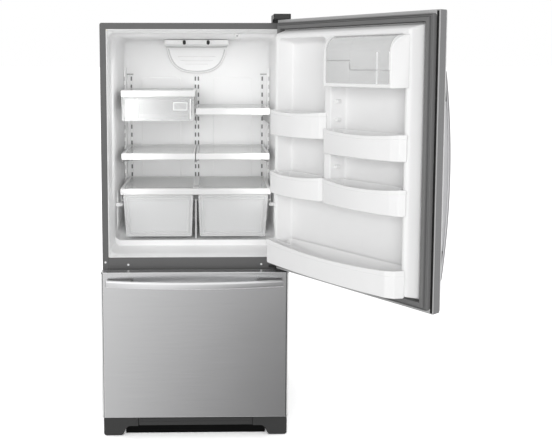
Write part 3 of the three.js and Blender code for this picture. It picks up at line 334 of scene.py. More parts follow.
def brushed(name, tone, stretch, gloss=0.3, streak=0.1, relief=0.1):
    """Metal with its grain drawn out along the axis whose stretch is small."""
    return finish(brushed_grain, name, {"Colour": (tone, tone, tone * 1.01, 1),
                                              "Stretch": stretch, "Streak": streak,
                                              "Gloss": gloss, "Relief": relief},
                  {"Metallic": 1.0})


print("kinds of finish: plastic, brushed")

# %% [markdown]
# Clear and frosted mouldings are thin, and one shows what lies behind it. Real transmission
# would do that, but it is slow and noisy in a box of walls behind walls. These finishes let part
# of the light straight through instead, and less of it where a wall is seen along its face,
# which is what makes the edges of a clear drawer stand out.


# %% Clear walls
def sheer(material, facing, edge):
    """Lets a thin clear wall show what is behind it, less so where it is seen along its face."""
    tree = material.node_tree
    weight = add_node(tree, "ShaderNodeLayerWeight", Blend=0.35)
    share = add_node(tree, "ShaderNodeMapRange", Value=weight.outputs["Facing"], To_Min=facing,
                     To_Max=edge)
    tree.links.new(share.outputs["Result"], tree.nodes["Principled BSDF"].inputs["Alpha"])
    return material


print("clear walls: more solid along the edge than face on")

# %% [markdown]
# ## Making shapes
#
# Almost every piece here is an outline that is drawn in or out while it is pushed along one axis:
# a liner, a bin, a gasket, a front. Boxes with a bevel modifier would be quicker for a few, but
# couldn't give each corner its own radius or a wall its draft. So two tools do most of the work.
# The first is `outline`: it gives each corner its own radius. A convex corner tightens as the
# outline moves in and a hollow one opens, which keeps a moulding's wall even all the way round.


# %% Outlines
def cross(first, second):
    """Positive where the second direction turns to the left of the first."""
    return first.x * second.y - first.y * second.x


def moved_in(corners, inset):
    """The corners of a counter-clockwise outline, with every side moved in by the inset."""
    moved = []
    for index, corner in enumerate(corners):
        before = (corner - corners[index - 1]).normalized()
        after = (corners[(index + 1) % len(corners)] - corner).normalized()
        first = corner + Vector((-before.y, before.x)) * inset
        second = corner + Vector((-after.y, after.x)) * inset
        turn = cross(before, after)
        if abs(turn) < 1e-4:
            moved.append(second)
        else:
            step = (second.x - first.x) * after.y - (second.y - first.y) * after.x
            moved.append(first + before * (step / turn))
    return moved


def outline(corners, radii, inset=0.0, steps=6):
    """Points round a closed outline, counter-clockwise, with an arc at each corner that has a
    radius. Radii may be one number for all of them."""
    if isinstance(radii, (int, float)):
        radii = [radii] * len(corners)
    moved = moved_in(corners, inset)
    points = []
    for index, corner in enumerate(moved):
        if radii[index] == 0:
            points.append(corner)
            continue
        bulges = cross(corners[index] - corners[index - 1],
                       corners[(index + 1) % len(corners)] - corners[index]) > 0
        radius = max(radii[index] - inset if bulges else radii[index] + inset, 0.0004)
        before = (moved[index - 1] - corner).normalized()
        after = (moved[(index + 1) % len(moved)] - corner).normalized()
        half = before.angle(after) / 2
        middle = corner + (before + after).normalized() * (radius / math.sin(half))
        start = corner + before * (radius / math.tan(half)) - middle
        sweep = math.pi - 2 * half if bulges else 2 * half - math.pi
        for step in range(steps + 1):
            cosine, sine = (wave(sweep * step / steps) for wave in (math.cos, math.sin))
            points.append(middle + Vector((start.x * cosine - start.y * sine,
                                           start.x * sine + start.y * cosine)))
    return points


def rectangle(x0, x1, y0, y1):
    """The corners of a rectangle, counter-clockwise."""
    return [Vector((x0, y0)), Vector((x1, y0)), Vector((x1, y1)), Vector((x0, y1))]


print("points round a rectangle with round corners:", len(outline(rectangle(0, 1, 0, 1), 0.1)))

# %% [markdown]
# The second tool is `drawn`. It makes a closed body from a profile of steps, each an inset of the
# outline and a depth, and lays bands of faces between them. Three small functions say which way
# an outline faces, so the same profile serves a front, a tray or a rail.


# %% Bodies
def upright(a, b, depth):
    """An outline seen from the front, pushed back along Y."""
    return Vector((a, depth, b))


def level(a, b, depth):
    """An outline seen from above, pushed up along Z."""
    return Vector((a, b, depth))


def sideways(a, b, depth):
    """An outline of Y and Z, pushed along X."""
    return Vector((depth, a, b))


def add_ring(body, points):
    """The points of one outline as vertices of the body."""
    return [body.verts.new(point) for point in points]


def bridge(body, first, second, closed=True):
    """A band of faces between two rings that have as many points."""
    count = len(first)
    for index in range(count if closed else count - 1):
        after = (index + 1) % count
        corners = [first[index], first[after], second[after], second[index]]
        if len(set(corners)) == 4:
            body.faces.new(corners)


def banded(body, rings, closed=True, shut=False):
    """Bands between rings of points, one after the other. Gives the rings as vertices."""
    rings = [add_ring(body, ring) for ring in rings]
    for first, second in zip(rings, rings[1:]):
        bridge(body, first, second, closed)
    if shut:
        bridge(body, rings[-1], rings[0], closed)
    return rings


def flat_face(body, outer, holes=()):
    """A flat face between rings of vertices, with holes, laid out in triangles."""
    loops = [outer, *holes]
    corners = [vertex for loop in loops for vertex in loop]
    for triangle in tessellate_polygon([[vertex.co for vertex in loop] for loop in loops]):
        if len({corners[index] for index in triangle}) == 3:
            body.faces.new([corners[index] for index in triangle])


def through(rings, body=None, shut=False):
    """A body through rings of points. It closes on itself, or else both ends are capped."""
    body = body or bmesh.new()
    rings = banded(body, rings, shut=shut)
    if not shut:
        flat_face(body, rings[0])
        flat_face(body, rings[-1])
    return body


def stepped(corners, radii, profile, place=upright, steps=6, even=False):
    """Rings of points: an outline at each (inset, depth) step of a profile. An even outline
    keeps its corner radius instead of tightening."""
    return [[place(point.x, point.y, depth)
             for point in outline(corners, radii + inset if even else radii, inset, steps)]
            for inset, depth in profile]


def drawn(corners, radii, profile, place, steps=6, shut=False, body=None):
    """A body made by drawing an outline along a profile of (inset, depth) steps."""
    return through(stepped(corners, radii, profile, place, steps), body, shut)


print("ways an outline can face: upright, level, sideways")

# %% [markdown]
# A finished body becomes an object in its place, smooth between its sharp edges, and rides on the
# part of the appliance that carries it. Weighted normals keep large flat faces flat beside the
# small round edges, where plain smoothing would make a steel front look like a pillow.

# %% From a body to a piece on the frame
SHARP = math.radians(38)
SHARP_ON_SHEET = math.radians(50)        # a formed sheet stays smooth round tighter bends


def piece(name, body, material, rides="cabinet", replaces=None, sharp=SHARP,
          place=None):
    """A finished object: put in its place, smoothed between its sharp edges, riding its body."""
    bmesh.ops.remove_doubles(body, verts=body.verts, dist=0.00002)
    bmesh.ops.recalc_face_normals(body, faces=body.faces)
    for face in body.faces:
        face.smooth = True
    for edge in body.edges:
        edge.smooth = len(edge.link_faces) == 2 and edge.calc_face_angle(0) < sharp
    mesh = bpy.data.meshes.new(name)
    body.to_mesh(mesh)
    body.free()
    mesh.transform(place or place_of(rides))
    mesh.materials.append(material)
    made = bpy.data.objects.new(name, mesh)
    bpy.context.scene.collection.objects.link(made)
    made.modifiers.new("keep_flat_faces_flat", "WEIGHTED_NORMAL").keep_sharp = True
    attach(made, rides)
    if replaces:
        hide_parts(replaces)
    return made


print("faces meet sharply from", round(math.degrees(SHARP)), "degrees")

# %% [markdown]
# Where a folded, cast or moulded piece already has the right outline, it isn't drawn again. Its
# mesh is copied from the frame and the edges are rounded, as a press brake or a mould would.


# %% Softening a piece that is right already
def softened(node, material, width=0.001, segments=2):
    """A copy of a node whose outline is already right, with its edges rounded."""
    source = frame["nodes"][node]
    body = bmesh.new()
    body.from_mesh(source.data)
    bmesh.ops.remove_doubles(body, verts=body.verts, dist=0.00001)
    bmesh.ops.dissolve_limit(body, angle_limit=math.radians(1), verts=body.verts,
                             edges=body.edges)
    edges = [edge for edge in body.edges
             if len(edge.link_faces) == 2 and edge.calc_face_angle(0) > math.radians(25)]
    bmesh.ops.bevel(body, geom=edges, offset=width, offset_type="OFFSET", segments=segments,
                    profile=0.5, affect="EDGES", clamp_overlap=True)
    return piece("dressed_" + node, body, material, body_of(source)[0], node,
                 place=Matrix.Identity(4))


print("softened: edges sharper than 25 degrees")

# %% [markdown]
# ## The cabinet
#
# The outer cabinet is one strip of painted steel, folded into an upturned U: two sides and the
# top, with the front edge turned in to make the flange that the gaskets close on. The folds are
# rounded, because sheet can't be folded sharp, and the paint is a fine-textured grey enamel. The
# section of the folded edge is drawn once and swept along that arch, as the folding line does.

# %% The folded cabinet
CABINET_PAINT = plastic("textured_grey_enamel", "cabinet_paint", 0.13, gloss=0.42, drift=0.08,
                        grain=1400.0, relief=0.35)
CORNER = 0.008
SHEET = 0.0015
FLANGE = 0.025


def arch(inset, depth, steps=5):
    """Up the left side, round the top corners and down the right side."""
    half, bottom, top = shell_high.x - inset, shell_low.z, shell_high.z - inset
    radius = max(CORNER - inset, 0.0006)
    points = [(-half, bottom)]
    for x, start in ((-half + radius, math.pi), (half - radius, math.pi / 2)):
        turns = [start - math.pi / 2 * step / steps for step in range(steps + 1)]
        points += [(x + radius * math.cos(turn), top - radius + radius * math.sin(turn))
                   for turn in turns]
    return [upright(x, z, depth) for x, z in (*points, (half, bottom))]


rear = shell_high.y
section = [(0, rear), (0, 0.0022), (0.0006, 0.0006), (0.0022, 0), (FLANGE - 0.0007, 0),
           (FLANGE, 0.0007), (FLANGE, SHEET), (0.0045, SHEET), (0.0022, 0.0022),
           (SHEET, 0.0045), (SHEET, rear)]
wrapper = bmesh.new()
rings = banded(wrapper, [arch(inset, depth) for inset, depth in section], closed=False, shut=True)
for end in (0, -1):
    flat_face(wrapper, [ring[end] for ring in rings])
made = piece("cabinet_wrapper", wrapper, CABINET_PAINT, replaces="cabinet_shell")
print(made.name, [round(size, 4) for size in made.dimensions])

# %% [markdown]
# Two flat sheets close the cabinet: the painted mullion between the two openings, and the rear
# panel. The rear stays bare, as galvanised steel does not rust, so its surface is cloudy zinc.

# %% Mullion and rear panel
ZINC = brushed("zinc_sheet", 0.5, (40.0, 40.0, 40.0), gloss=0.42, streak=0.3)
softened("centre_mullion", CABINET_PAINT, 0.0008)
made = softened("rear_panel", ZINC, 0.0003, 1)
print(made.name, "faces", len(made.data.polygons))

# %% [markdown]
# White-capped screws hold the mullion and the flange behind the paint line, and they show as
# small bright dots in the photograph. A screw head is a turned part, so a small lathe makes it,
# and later the dials, the rollers and the compressor: it spins a profile round an axis.

# %% Screws of the front flange
TRIM = plastic("moulded_white", "white_trim", 0.92, gloss=0.25, grain=500.0, relief=0.03)


def lathed(centre, axis, profile, segments=32, body=None):
    """A body turned on a lathe: (radius, distance along the axis) steps, both ends closed."""
    aim = Vector((0, 0, 1)).rotation_difference(Vector(axis)).to_matrix()
    angles = [2 * math.pi * index / segments for index in range(segments)]
    rings = [[Vector(centre) + aim @ Vector((radius * math.cos(angle), radius * math.sin(angle),
                                             along)) for angle in angles]
             for radius, along in profile]
    return through(rings, body)


def screw(centre, body, radius=0.0045, height=0.0016, axis=(0, -1, 0)):
    """A pan-head screw standing on a face, as a small turned dome."""
    profile = [(radius, -0.0004), (radius, height * 0.35), (radius * 0.9, height * 0.75),
               (radius * 0.6, height * 0.97), (radius * 0.2, height)]
    return lathed(centre, axis, profile, 20, body)


screws = bmesh.new()
for x, z in ((-0.366, 0.722), (-0.273, 0.712), (0.2705, 0.712)):
    screw((x, 0.0, z), screws)
made = piece("flange_screws", screws, TRIM)
print("screws on the flange: 3, faces", len(made.data.polygons))

# %% [markdown]
# ## The two liners
#
# Each compartment is lined with one sheet of white plastic, drawn by vacuum over a mould. That is
# why all its corners are generous, its walls draw together towards the rear, and the shallow
# panels on the rear wall have soft edges. A liner is one run of rings: out along its back and in
# along its face. Each ring is a station with a depth, half its width, its lowest and highest
# height and its corner radius.

# %% Rings of a liner
LINER = plastic("vacuum_formed_white", "white_liner", 0.92, gloss=0.5, grain=260.0, relief=0.04)
LINER_WALL = 0.0025
REAR_WALL = 0.568
REAR_RADIUS = 0.025
REAR_HALF = 0.343


def liner_rings(stations, steps=7):
    """Outside from rear to front, then inside from front to rear."""
    inside = []
    outside = []
    for depth, half, low, high, radius in stations:
        back = max(depth + (LINER_WALL if depth > 0.55 else 0), 0)
        inside += stepped(rectangle(-half, half, low, high), radius, [(0, depth)], steps=steps)
        outside += stepped(rectangle(-half - LINER_WALL, half + LINER_WALL, low - LINER_WALL,
                                     high + LINER_WALL),
                           radius + LINER_WALL, [(0, back)], steps=steps)
    return list(reversed(outside)) + inside


def rear_bend(low, high, steps=6):
    """The stations of the rounded rear edge, which tightens all round into the rear wall."""
    turns = [math.pi / 2 * step / steps for step in range(steps + 1)]
    bends = [(REAR_RADIUS * math.sin(turn), REAR_RADIUS * (1 - math.cos(turn)))
             for turn in turns]
    return [(REAR_WALL - REAR_RADIUS + along, REAR_HALF - inset, low + inset, high - inset,
             0.028 - inset * 0.15) for along, inset in bends]


print("rear edge of a liner, stations:", len(rear_bend(0, 1)))

# %% [markdown]
# The fridge liner has a lip at its mouth, a low step a little way in that keeps spills inside,
# and the rounded rear. The light switch's housing hangs from its ceiling, and four lugs on its
# side walls carry the crisper cover. They are part of the same sheet, so they join its body.


# %% The fridge liner
def rounded_ends(low, high, edge):
    """The profile of a plain bar or block, with its two ends rounded over."""
    quarter = [(edge, 0), (edge * 0.62, edge * 0.08), (edge * 0.29, edge * 0.29),
               (edge * 0.08, edge * 0.62), (0, edge)]
    return [(across, low + along) for across, along in quarter] + [
        (across, high - along) for across, along in reversed(quarter)]


def slab(x0, x1, y0, y1, z0, z1, edge=0.001, radius=None, body=None):
    """A block with softened edges, for ribs, feet and bars."""
    corners = rectangle(x0, x1, y0, y1)
    return drawn(corners, radius or edge * 1.2, rounded_ends(z0, z1, edge), level, 3, body=body)


def mirrored(side, near, far):
    """A span across, measured out from the middle to the left (-1) or the right (1)."""
    return sorted((side * near, side * far))


FRIDGE_CEILING = 1.64
RISER_TOP = 0.776
fridge_stations = [
    (0.0, 0.3502, 0.7448, 1.6642, 0.0015), (0.003, 0.35, 0.7451, 1.6638, 0.003),
    (0.023, 0.3467, 0.7507, 1.6541, 0.020), (0.0265, 0.3462, 0.7517, 1.6525, 0.0235),
    (0.031, 0.346, 0.752, 1.6519, 0.024),
    (0.1625, 0.3452, 0.752, 1.6489, 0.025), (0.1642, 0.3452, 0.7531, 1.6488, 0.025),
    (0.165, 0.3452, 0.756, 1.6488, 0.025), (0.1653, 0.3452, 0.7725, 1.6488, 0.025),
    (0.1664, 0.3452, 0.7752, 1.6488, 0.025), (0.169, 0.3452, RISER_TOP, 1.6487, 0.025)]
liner = through(liner_rings(fridge_stations + rear_bend(RISER_TOP, FRIDGE_CEILING)))
slab(0.163, 0.181, 0.054, 0.084, 1.635, 1.654, 0.003, 0.005, liner)      # the switch's housing
for y in (0.214, 0.500):
    for side in (-1, 1):
        slab(*mirrored(side, 0.3165, 0.3475), y - 0.0115, y + 0.0115, 0.9165, 0.9294, 0.002,
             0.004, liner)
made = piece("fridge_liner_skin", liner, LINER, replaces="fridge_liner", sharp=SHARP_ON_SHEET)
print(made.name, "faces", len(made.data.polygons))

# %% [markdown]
# The rear wall carries two wide raised panels either side of the middle track, and a smooth
# upright rib at each corner. Small plugs close the ceiling's screw holes. All this stands less
# than 3 mm off the wall: it is drawn as low bodies on the liner, since a bump would not catch
# the light along its edges.

# %% Relief on the rear wall and the ceiling
relief = bmesh.new()
panel_rise = [(0, REAR_WALL + 0.0008), (0.0004, REAR_WALL - 0.0006),
              (0.0018, REAR_WALL - 0.0018), (0.004, REAR_WALL - 0.0023)]
for side in (-1, 1):
    drawn(rectangle(*mirrored(side, 0.076, 0.262), 0.983, 1.467), 0.012, panel_rise, upright,
          body=relief)
    drawn(rectangle(*mirrored(side, 0.3305, 0.3425), 0.53, 0.5675), 0.0025,
          rounded_ends(0.8, 1.51, 0.002), level, body=relief)
for x in (-0.173, -0.047, 0.051):
    screw((x, 0.036, 1.6523), relief, 0.005, 0.0018, (0, 0, -1))
made = piece("liner_relief", relief, LINER)
print("relief on the liner, faces:", len(made.data.polygons))

# %% [markdown]
# The glossy ribs mirror the slots of the side tracks as a row of faint grey marks. A mirror
# would need the wall to be far shinier than it is, so the marks are thin grey slabs of their own:
# a painted reflection. Two upright lugs on the left wall are where the crisper's rail clips in.

# %% Marks and lugs
SLOT_ROWS = 13
SLOT_PITCH = 0.038
# Thin grey slabs on the corner ribs: a painted reflection of the track slots.
PAINTED_SLOT_REFLECTION = plastic("painted_slot_reflection", "white_liner", 0.66, gloss=0.6)
marks = bmesh.new()
for side in (-1, 1):
    for row in range(SLOT_ROWS):
        z = 1.005 + row * SLOT_PITCH
        slab(*mirrored(side, 0.3355, 0.3415), 0.5292, 0.5306, z - 0.010, z + 0.010, 0.0005,
             body=marks)
piece("liner_painted_slot_reflections", marks, PAINTED_SLOT_REFLECTION)
lugs = bmesh.new()
for z in (0.905, 0.83):
    drawn(rectangle(0.109, 0.131, z - 0.016, z + 0.016), 0.006,
          [(0, 0.3462), (0.0006, 0.3405), (0.002, 0.3385), (0.004, 0.338)], sideways, body=lugs)
piece("liner_side_lugs", lugs, LINER)
print("marks:", 2 * SLOT_ROWS, "lugs: 2")

# %% [markdown]
# The freezer liner is drawn over a mould of its own, with a high step at the rear that leaves
# room for the compressor behind it. It is made as the fridge liner is, from other stations.

# %% The freezer liner
FREEZER_CEILING = 0.64
STEP_TOP = 0.33
freezer_stations = [
    (0.0, 0.3502, 0.1298, 0.6532, 0.0015), (0.003, 0.35, 0.1301, 0.6528, 0.003),
    (0.023, 0.3467, 0.1362, 0.6415, 0.020), (0.0265, 0.3462, 0.1368, 0.6404, 0.0235)]
freezer_stations += [(depth, half, low, FREEZER_CEILING, radius) for depth, half, low, radius in (
    (0.031, 0.346, 0.137, 0.024), (0.3675, 0.344, 0.137, 0.025), (0.3692, 0.344, 0.1383, 0.025),
    (0.37, 0.344, 0.1415, 0.025), (0.3703, 0.344, 0.3265, 0.025), (0.3714, 0.344, 0.3292, 0.025),
    (0.374, 0.344, STEP_TOP, 0.025))]
made = piece("freezer_liner_skin",
             through(liner_rings(freezer_stations + rear_bend(STEP_TOP, FREEZER_CEILING))),
             LINER, replaces="freezer_liner", sharp=SHARP_ON_SHEET)
print(made.name, "faces", len(made.data.polygons))

# %% [markdown]
# ## Inside the fridge
#
# A control housing hangs under the rear of the ceiling, with a shallow lamp window moulded into
# its underside. It has the same section from end to end, so it is drawn sideways. It, the shelves'
# trims and the crisper cover's frame take a darker copy of the white trim: painted shade that
# tones down the strong light on their fronts.

# %% Control housing
# A darker copy of the white trim: painted shade for fronts that the lamps light strongly.
SHADED_WHITE_TRIM = plastic("white_trim_painted_shade", "white_trim", 0.72, gloss=0.3, grain=500.0, relief=0.03)
low, high = extent("control_housing")
side_view = [Vector((low.y, low.z + 0.009)), Vector((low.y + 0.009, low.z)),
             Vector((high.y, low.z)), Vector((high.y, high.z)), Vector((low.y, high.z))]
housing = drawn(side_view, [0.004, 0.004, 0.002, 0.002, 0.002], rounded_ends(low.x, high.x, 0.003),
                sideways)
drawn(rectangle(-0.1, 0.1, 0.455, 0.52), 0.008,
      [(0, low.z + 0.001), (0.0005, low.z - 0.0008), (0.002, low.z - 0.0015)], level, body=housing)
made = piece("control_housing_shell", housing, SHADED_WHITE_TRIM, replaces="control_housing")
print(made.name, [round(size, 3) for size in made.dimensions])

# %% [markdown]
# The two dials are black grips in a white collar. The collar is turned, and the grip is a bar
# with fully round ends, so that a hand can see and feel where the dial points. The switch that
# the door presses is a plain white plunger.

# %% Dials and light switch
# Black of the dials' grips and the fan, also used for the painted shade along the door's latch
# edge.
BLACK_MOULDING_AND_PAINTED_SHADE = plastic("black_moulding_and_painted_shade", "black", 0.01, gloss=0.5, drift=0.2)
SWITCH = plastic("switch_plunger", "white_trim", 0.5, gloss=0.3)
for knob in ("control_knob_left", "control_knob_right"):
    low, high = extent(knob)
    x, z = (low.x + high.x) / 2, (low.z + high.z) / 2
    collar = lathed((x, 0.4297, z), (0, -1, 0), [
        (0.0108, 0.0), (0.0108, 0.0030), (0.0103, 0.0042), (0.0092, 0.0046), (0.0088, 0.0052),
        (0.0084, 0.0090), (0.0080, 0.0104), (0.0070, 0.0112)], 40)
    piece(knob + "_collar", collar, TRIM, knob, knob)
    grip = drawn(rectangle(x - 0.0074, x + 0.0074, z - 0.0102, z + 0.0102), 0.0068,
                 [(0, 0.4190), (0, 0.4158), (0.0006, 0.4146), (0.0018, 0.4139)], upright)
    piece(knob + "_grip", grip, BLACK_MOULDING_AND_PAINTED_SHADE, knob)
softened("light_switch", SWITCH, 0.0008)
print("dials:", 2)

# %% [markdown]
# Cold air from the freezer comes out behind a D-shaped cover, through three narrow louvres. Its
# outline is a smooth curve, so it is worked out from two cubic curves instead of points set by
# hand. A grey band just inside the edge is painted shade, the shade of a groove round the cover,
# and is what draws the cover's outline.


# %% The air outlet's cover
def curve(start, first, second, end, steps):
    """Points along a cubic curve, without its end."""
    points = []
    for step in range(steps):
        t = step / steps
        u = 1 - t
        points.append(Vector(start) * u ** 3 + Vector(first) * 3 * u * u * t
                      + Vector(second) * 3 * u * t * t + Vector(end) * t ** 3)
    return points


def holed(body, ring, holes, depth, shift):
    """Closes a ring at a depth with a flat face that has openings, each with its own walls."""
    mouths = []
    for hole in holes:
        mouth = add_ring(body, [upright(point.x, point.y, depth) for point in hole])
        mouths.append((mouth, add_ring(body, [vertex.co + Vector(shift) for vertex in mouth])))
        bridge(body, *mouths[-1])
    flat_face(body, ring, [mouth for mouth, _ in mouths])
    return [floor for _, floor in mouths]


LOUVRES = (0.088, 0.076, 0.052)          # half the width of each, from the top down
low, high = extent("air_diffuser")
half, top, bottom = high.x, high.z, low.z
shoulder = top - (top - bottom) * 0.72
outlet = [*curve((-half, top), (-half + 0.012, shoulder), (-half * 0.62, bottom), (0, bottom), 18),
          *curve((0, bottom), (half * 0.62, bottom), (half - 0.012, shoulder), (half, top), 18),
          Vector((half, top))]
cover = bmesh.new()
rings = banded(cover, stepped(outlet, 0, [
    (0, high.y), (0, low.y + 0.006), (0.0008, low.y + 0.003), (0.0025, low.y + 0.0008),
    (0.0045, low.y)]))
flat_face(cover, rings[0])
slots = []
for row, reach in enumerate(LOUVRES):
    z = top - 0.047 - row * 0.018
    slots.append(outline(rectangle(-reach, reach, z - 0.0026, z + 0.0026), 0.0024, 0, 4))
for floor in holed(cover, rings[-1], slots, low.y, (0, 0.0045, -0.0015)):
    flat_face(cover, floor)
piece("air_outlet_cover", cover, TRIM, replaces="air_diffuser")
print("louvres:", len(LOUVRES))

# %% [markdown]
# The painted groove shade follows the cover's curve but not its straight top, where the cover
# meets the housing. So it is a strip of bands that is left open at that end.

# %% The painted shade of the air outlet's groove
# A grey band of painted shade, where a groove runs round the cover.
PAINTED_GROOVE_SHADE = plastic("grey_painted_groove_shade", "white_trim", 0.6, gloss=0.8)
groove_shade = bmesh.new()
groove_rings = stepped(outlet, 0, [(0.0062, low.y + 0.0001), (0.0068, low.y - 0.0005),
                           (0.0122, low.y - 0.0005), (0.0128, low.y + 0.0001)])
banded(groove_shade, [ring[:-1] for ring in groove_rings], closed=False)
made = piece("air_outlet_painted_groove_shade", groove_shade, PAINTED_GROOVE_SHADE)
print(made.name, "faces", len(made.data.polygons))

# %% [markdown]
# The shelves hook into slotted steel strips. The strips are punched: each slot is a real opening,
# and a dark grey slab behind the strip paints the shade of the space in the wall. Dark rectangles
# painted on would be quicker, but wouldn't show the strip's thickness from the side.

# %% Shelf tracks
# Dark grey: painted shade behind the track slots, and the colour of the track caps and the crisper
# cover's clip.
SLOT_SHADE_AND_DARK_GREY = plastic("painted_slot_shade_and_dark_grey", "white_trim", 0.17, gloss=0.6)


def track(node, columns):
    """A white strip with a row of slots in each column, over a dark slab of painted shade."""
    low, high = extent(node)
    middle = (low.x + high.x) / 2
    body = bmesh.new()
    rings = banded(body, stepped(rectangle(low.x, high.x, low.z, high.z), 0.002, [
        (0, high.y), (0, low.y + 0.001), (0.0003, low.y + 0.0003), (0.001, low.y)], steps=3))
    flat_face(body, rings[0])
    slots = []
    for row in range(SLOT_ROWS):
        z = low.z + 0.019 + row * SLOT_PITCH
        slots += [outline(rectangle(x - 0.0033, x + 0.0033, z - 0.01, z + 0.01), 0.0022, 0, 3)
                  for x in (middle + column for column in columns)]
    holed(body, rings[-1], slots, low.y, (0, 0.003, 0))
    piece(node + "_strip", body, TRIM, replaces=node)
    # A dark grey slab behind the slots: painted shade of the space in the wall.
    dark = slab(low.x + 0.002, high.x - 0.002, low.y + 0.0028, high.y - 0.0002, low.z + 0.004,
                high.z - 0.004, 0.0004)
    piece(node + "_painted_slot_shade", dark, SLOT_SHADE_AND_DARK_GREY)
    if len(columns) == 1:
        cap = slab(*mirrored(math.copysign(1, middle), 0.300, 0.341), low.y - 0.0015, high.y,
                   high.z + 0.0006, high.z + 0.0036, 0.0008)
        piece(node + "_cap", cap, SLOT_SHADE_AND_DARK_GREY)


track("shelf_track_left", (0.0,))
track("shelf_track_centre", (-0.007, 0.007))
track("shelf_track_right", (0.0,))
print("slots:", SLOT_ROWS * 4)

# %% [markdown]
# Each shelf is a pane of tempered glass moulded into a white frame, with a deep front trim that
# stops spills. Two painted steel brackets carry it and taper towards the front. The upper pair
# has deeper noses than the middle pair, because the deli drawer hangs there.

# %% Shelves
GLASS = sheer(plastic("shelf_glass", "clear", (0.9, 0.915, 0.905), gloss=0.04, relief=0.0),
              0.06, 0.45)
BRACKET_STEEL = plastic("bracket_enamel", "zinc", 0.3, gloss=0.35, drift=0.1)
SHELF_REAR = 0.545


def bar_across(x0, x1, corners, radii, edge, body):
    """A trim of a given section in Y and Z, from one end to the other, with rounded ends."""
    return drawn(corners, radii, rounded_ends(x0, x1, edge), sideways, 4, body=body)


def shelf(node, nose):
    """Frame, pane and brackets of one half-width shelf."""
    low, high = extent(node)
    x0, x1, front, tail, top = low.x, high.x, low.y, high.y, high.z
    rim = bmesh.new()
    bar_across(x0, x1, rectangle(front, front + 0.012, top - 0.027, top),
               [0.003, 0.002, 0.002, 0.005], 0.0025, rim)
    bar_across(x0, x1, rectangle(SHELF_REAR - 0.009, SHELF_REAR, top - 0.016, top), 0.002, 0.002,
               rim)
    for x in (x0, x1 - 0.009):
        slab(x, x + 0.009, front + 0.01, SHELF_REAR - 0.006, top - 0.0085, top, 0.0015, body=rim)
    piece(node + "_frame", rim, SHADED_WHITE_TRIM, replaces=node)
    pane = slab(x0 + 0.006, x1 - 0.006, front + 0.009, SHELF_REAR - 0.004, top - 0.0052,
                top - 0.0014, 0.0006)
    piece(node + "_pane", pane, GLASS)
    flank = [Vector((front + 0.011, top - nose)), Vector((tail - 0.06, top - 0.07)),
             Vector((tail - 0.012, top - 0.077)), Vector((tail, top - 0.077)),
             Vector((tail, top - 0.009)), Vector((front + 0.011, top - 0.009))]
    brackets = bmesh.new()
    for x in (x0, x1 - 0.003):
        bar_across(x, x + 0.003, flank, [0.004, 0.02, 0.004, 0.003, 0.002, 0.002], 0.0006,
                   brackets)
    piece(node + "_brackets", brackets, BRACKET_STEEL)


for row, nose in (("upper", 0.066), ("middle", 0.040)):
    for side in ("left", "right"):
        shelf("shelf_" + row + "_" + side, nose)
low, high = extent("shelf_upper_left")
runners = bmesh.new()
foot = high.z - 0.042
for x in (low.x + 0.002, high.x - 0.015):
    slab(x, x + 0.013, 0.185, 0.535, foot - 0.002, foot, 0.0006, body=runners)
piece("deli_runners", runners, BRACKET_STEEL)
print("shelves:", 4, "runners for the deli drawer:", 2)

# %% [markdown]
# The deli drawer and the crispers are injection-moulded in clear plastic, open boxes with a thin
# even wall, drafted so that they leave the mould, and a rim. The profile of such a tray goes up
# the outside, over the rim and down the inside, and the door's bins use it again.


# %% Trays and framed fronts
def tray_profile(low, high, wall, draft=0.002, fillet=0.005, band=0.0):
    """Up the outside, over the rim and down the inside of an open-topped moulding. A band is the
    height of a thicker lip round the rim."""
    rim = 0.0012
    turns = [math.pi / 2 * step / 4 for step in range(5)]
    outside = [(draft + fillet * (1 - math.sin(turn)), low + fillet * (1 - math.cos(turn)))
               for turn in turns]
    lip = [(0.0017, high - band - 0.0012), (0.0005, high - band - 0.0003), (0, high - band)]
    over = [(0, high - rim), (rim * 0.3, high - rim * 0.3), (rim, high), (wall - rim, high),
            (wall - rim * 0.3, high - rim * 0.3), (wall, high - rim)]
    inside = [(wall + inset, height + wall) for inset, height in reversed(outside)]
    return outside + (lip if band else []) + over + inside


def framed_front(corners, radii, front, steps, body):
    """A moulded front 6 mm thick: a flat border, a fine groove and a field set back inside it.
    A step is an inset and how deep it lies, as a share of the thickness."""
    thick = 0.006
    profile = [(0.001, front + thick), (0, front + thick - 0.001), (0, front + 0.0016),
               (0.0005, front + 0.0005), (0.0016, front)]
    profile += [(inset, front + sunk * thick) for inset, sunk in steps]
    return drawn(corners, radii, profile, upright, 6, body=body)


print("steps in a tray's profile:", len(tray_profile(0, 1, 0.003)))

# %% [markdown]
# The deli drawer is the clearest of them. Thin clear walls show their edges more than their
# faces, so the finish lets more through where a wall is seen square on, and its thick parts, the
# bezel of the grip and two upright ribs, are pieces of a more solid finish. Flanges along its
# upper edges run on the shelf's runners.

# %% The deli drawer
CLEAR = sheer(plastic("clear_moulding", "clear", (0.93, 0.935, 0.935), gloss=0.12, relief=0.02),
              0.22, 0.8)
CLEAR_RIB = plastic("clear_rib", "clear", (0.88, 0.885, 0.885), gloss=0.15)
low, high = extent("deli_drawer")
front = low.y
deli = bmesh.new()
framed_front(rectangle(low.x, high.x, low.z, high.z), 0.006, front,
             [(0.006, 0.0), (0.0072, 0.35), (0.0085, 0.35), (0.0097, 0.1)], deli)
drawn(rectangle(low.x + 0.012, high.x - 0.012, front + 0.005, high.y),
      [0.004, 0.004, 0.012, 0.012], tray_profile(low.z + 0.002, high.z - 0.0095, 0.0025, 0.003,
                                                 0.006), level, body=deli)
flange = high.z - 0.0107
for x in (low.x, high.x - 0.014):
    slab(x, x + 0.014, front + 0.014, high.y, flange - 0.003, flange, 0.0008, body=deli)
piece("deli_drawer_pan", deli, CLEAR, "deli_drawer", "deli_drawer")
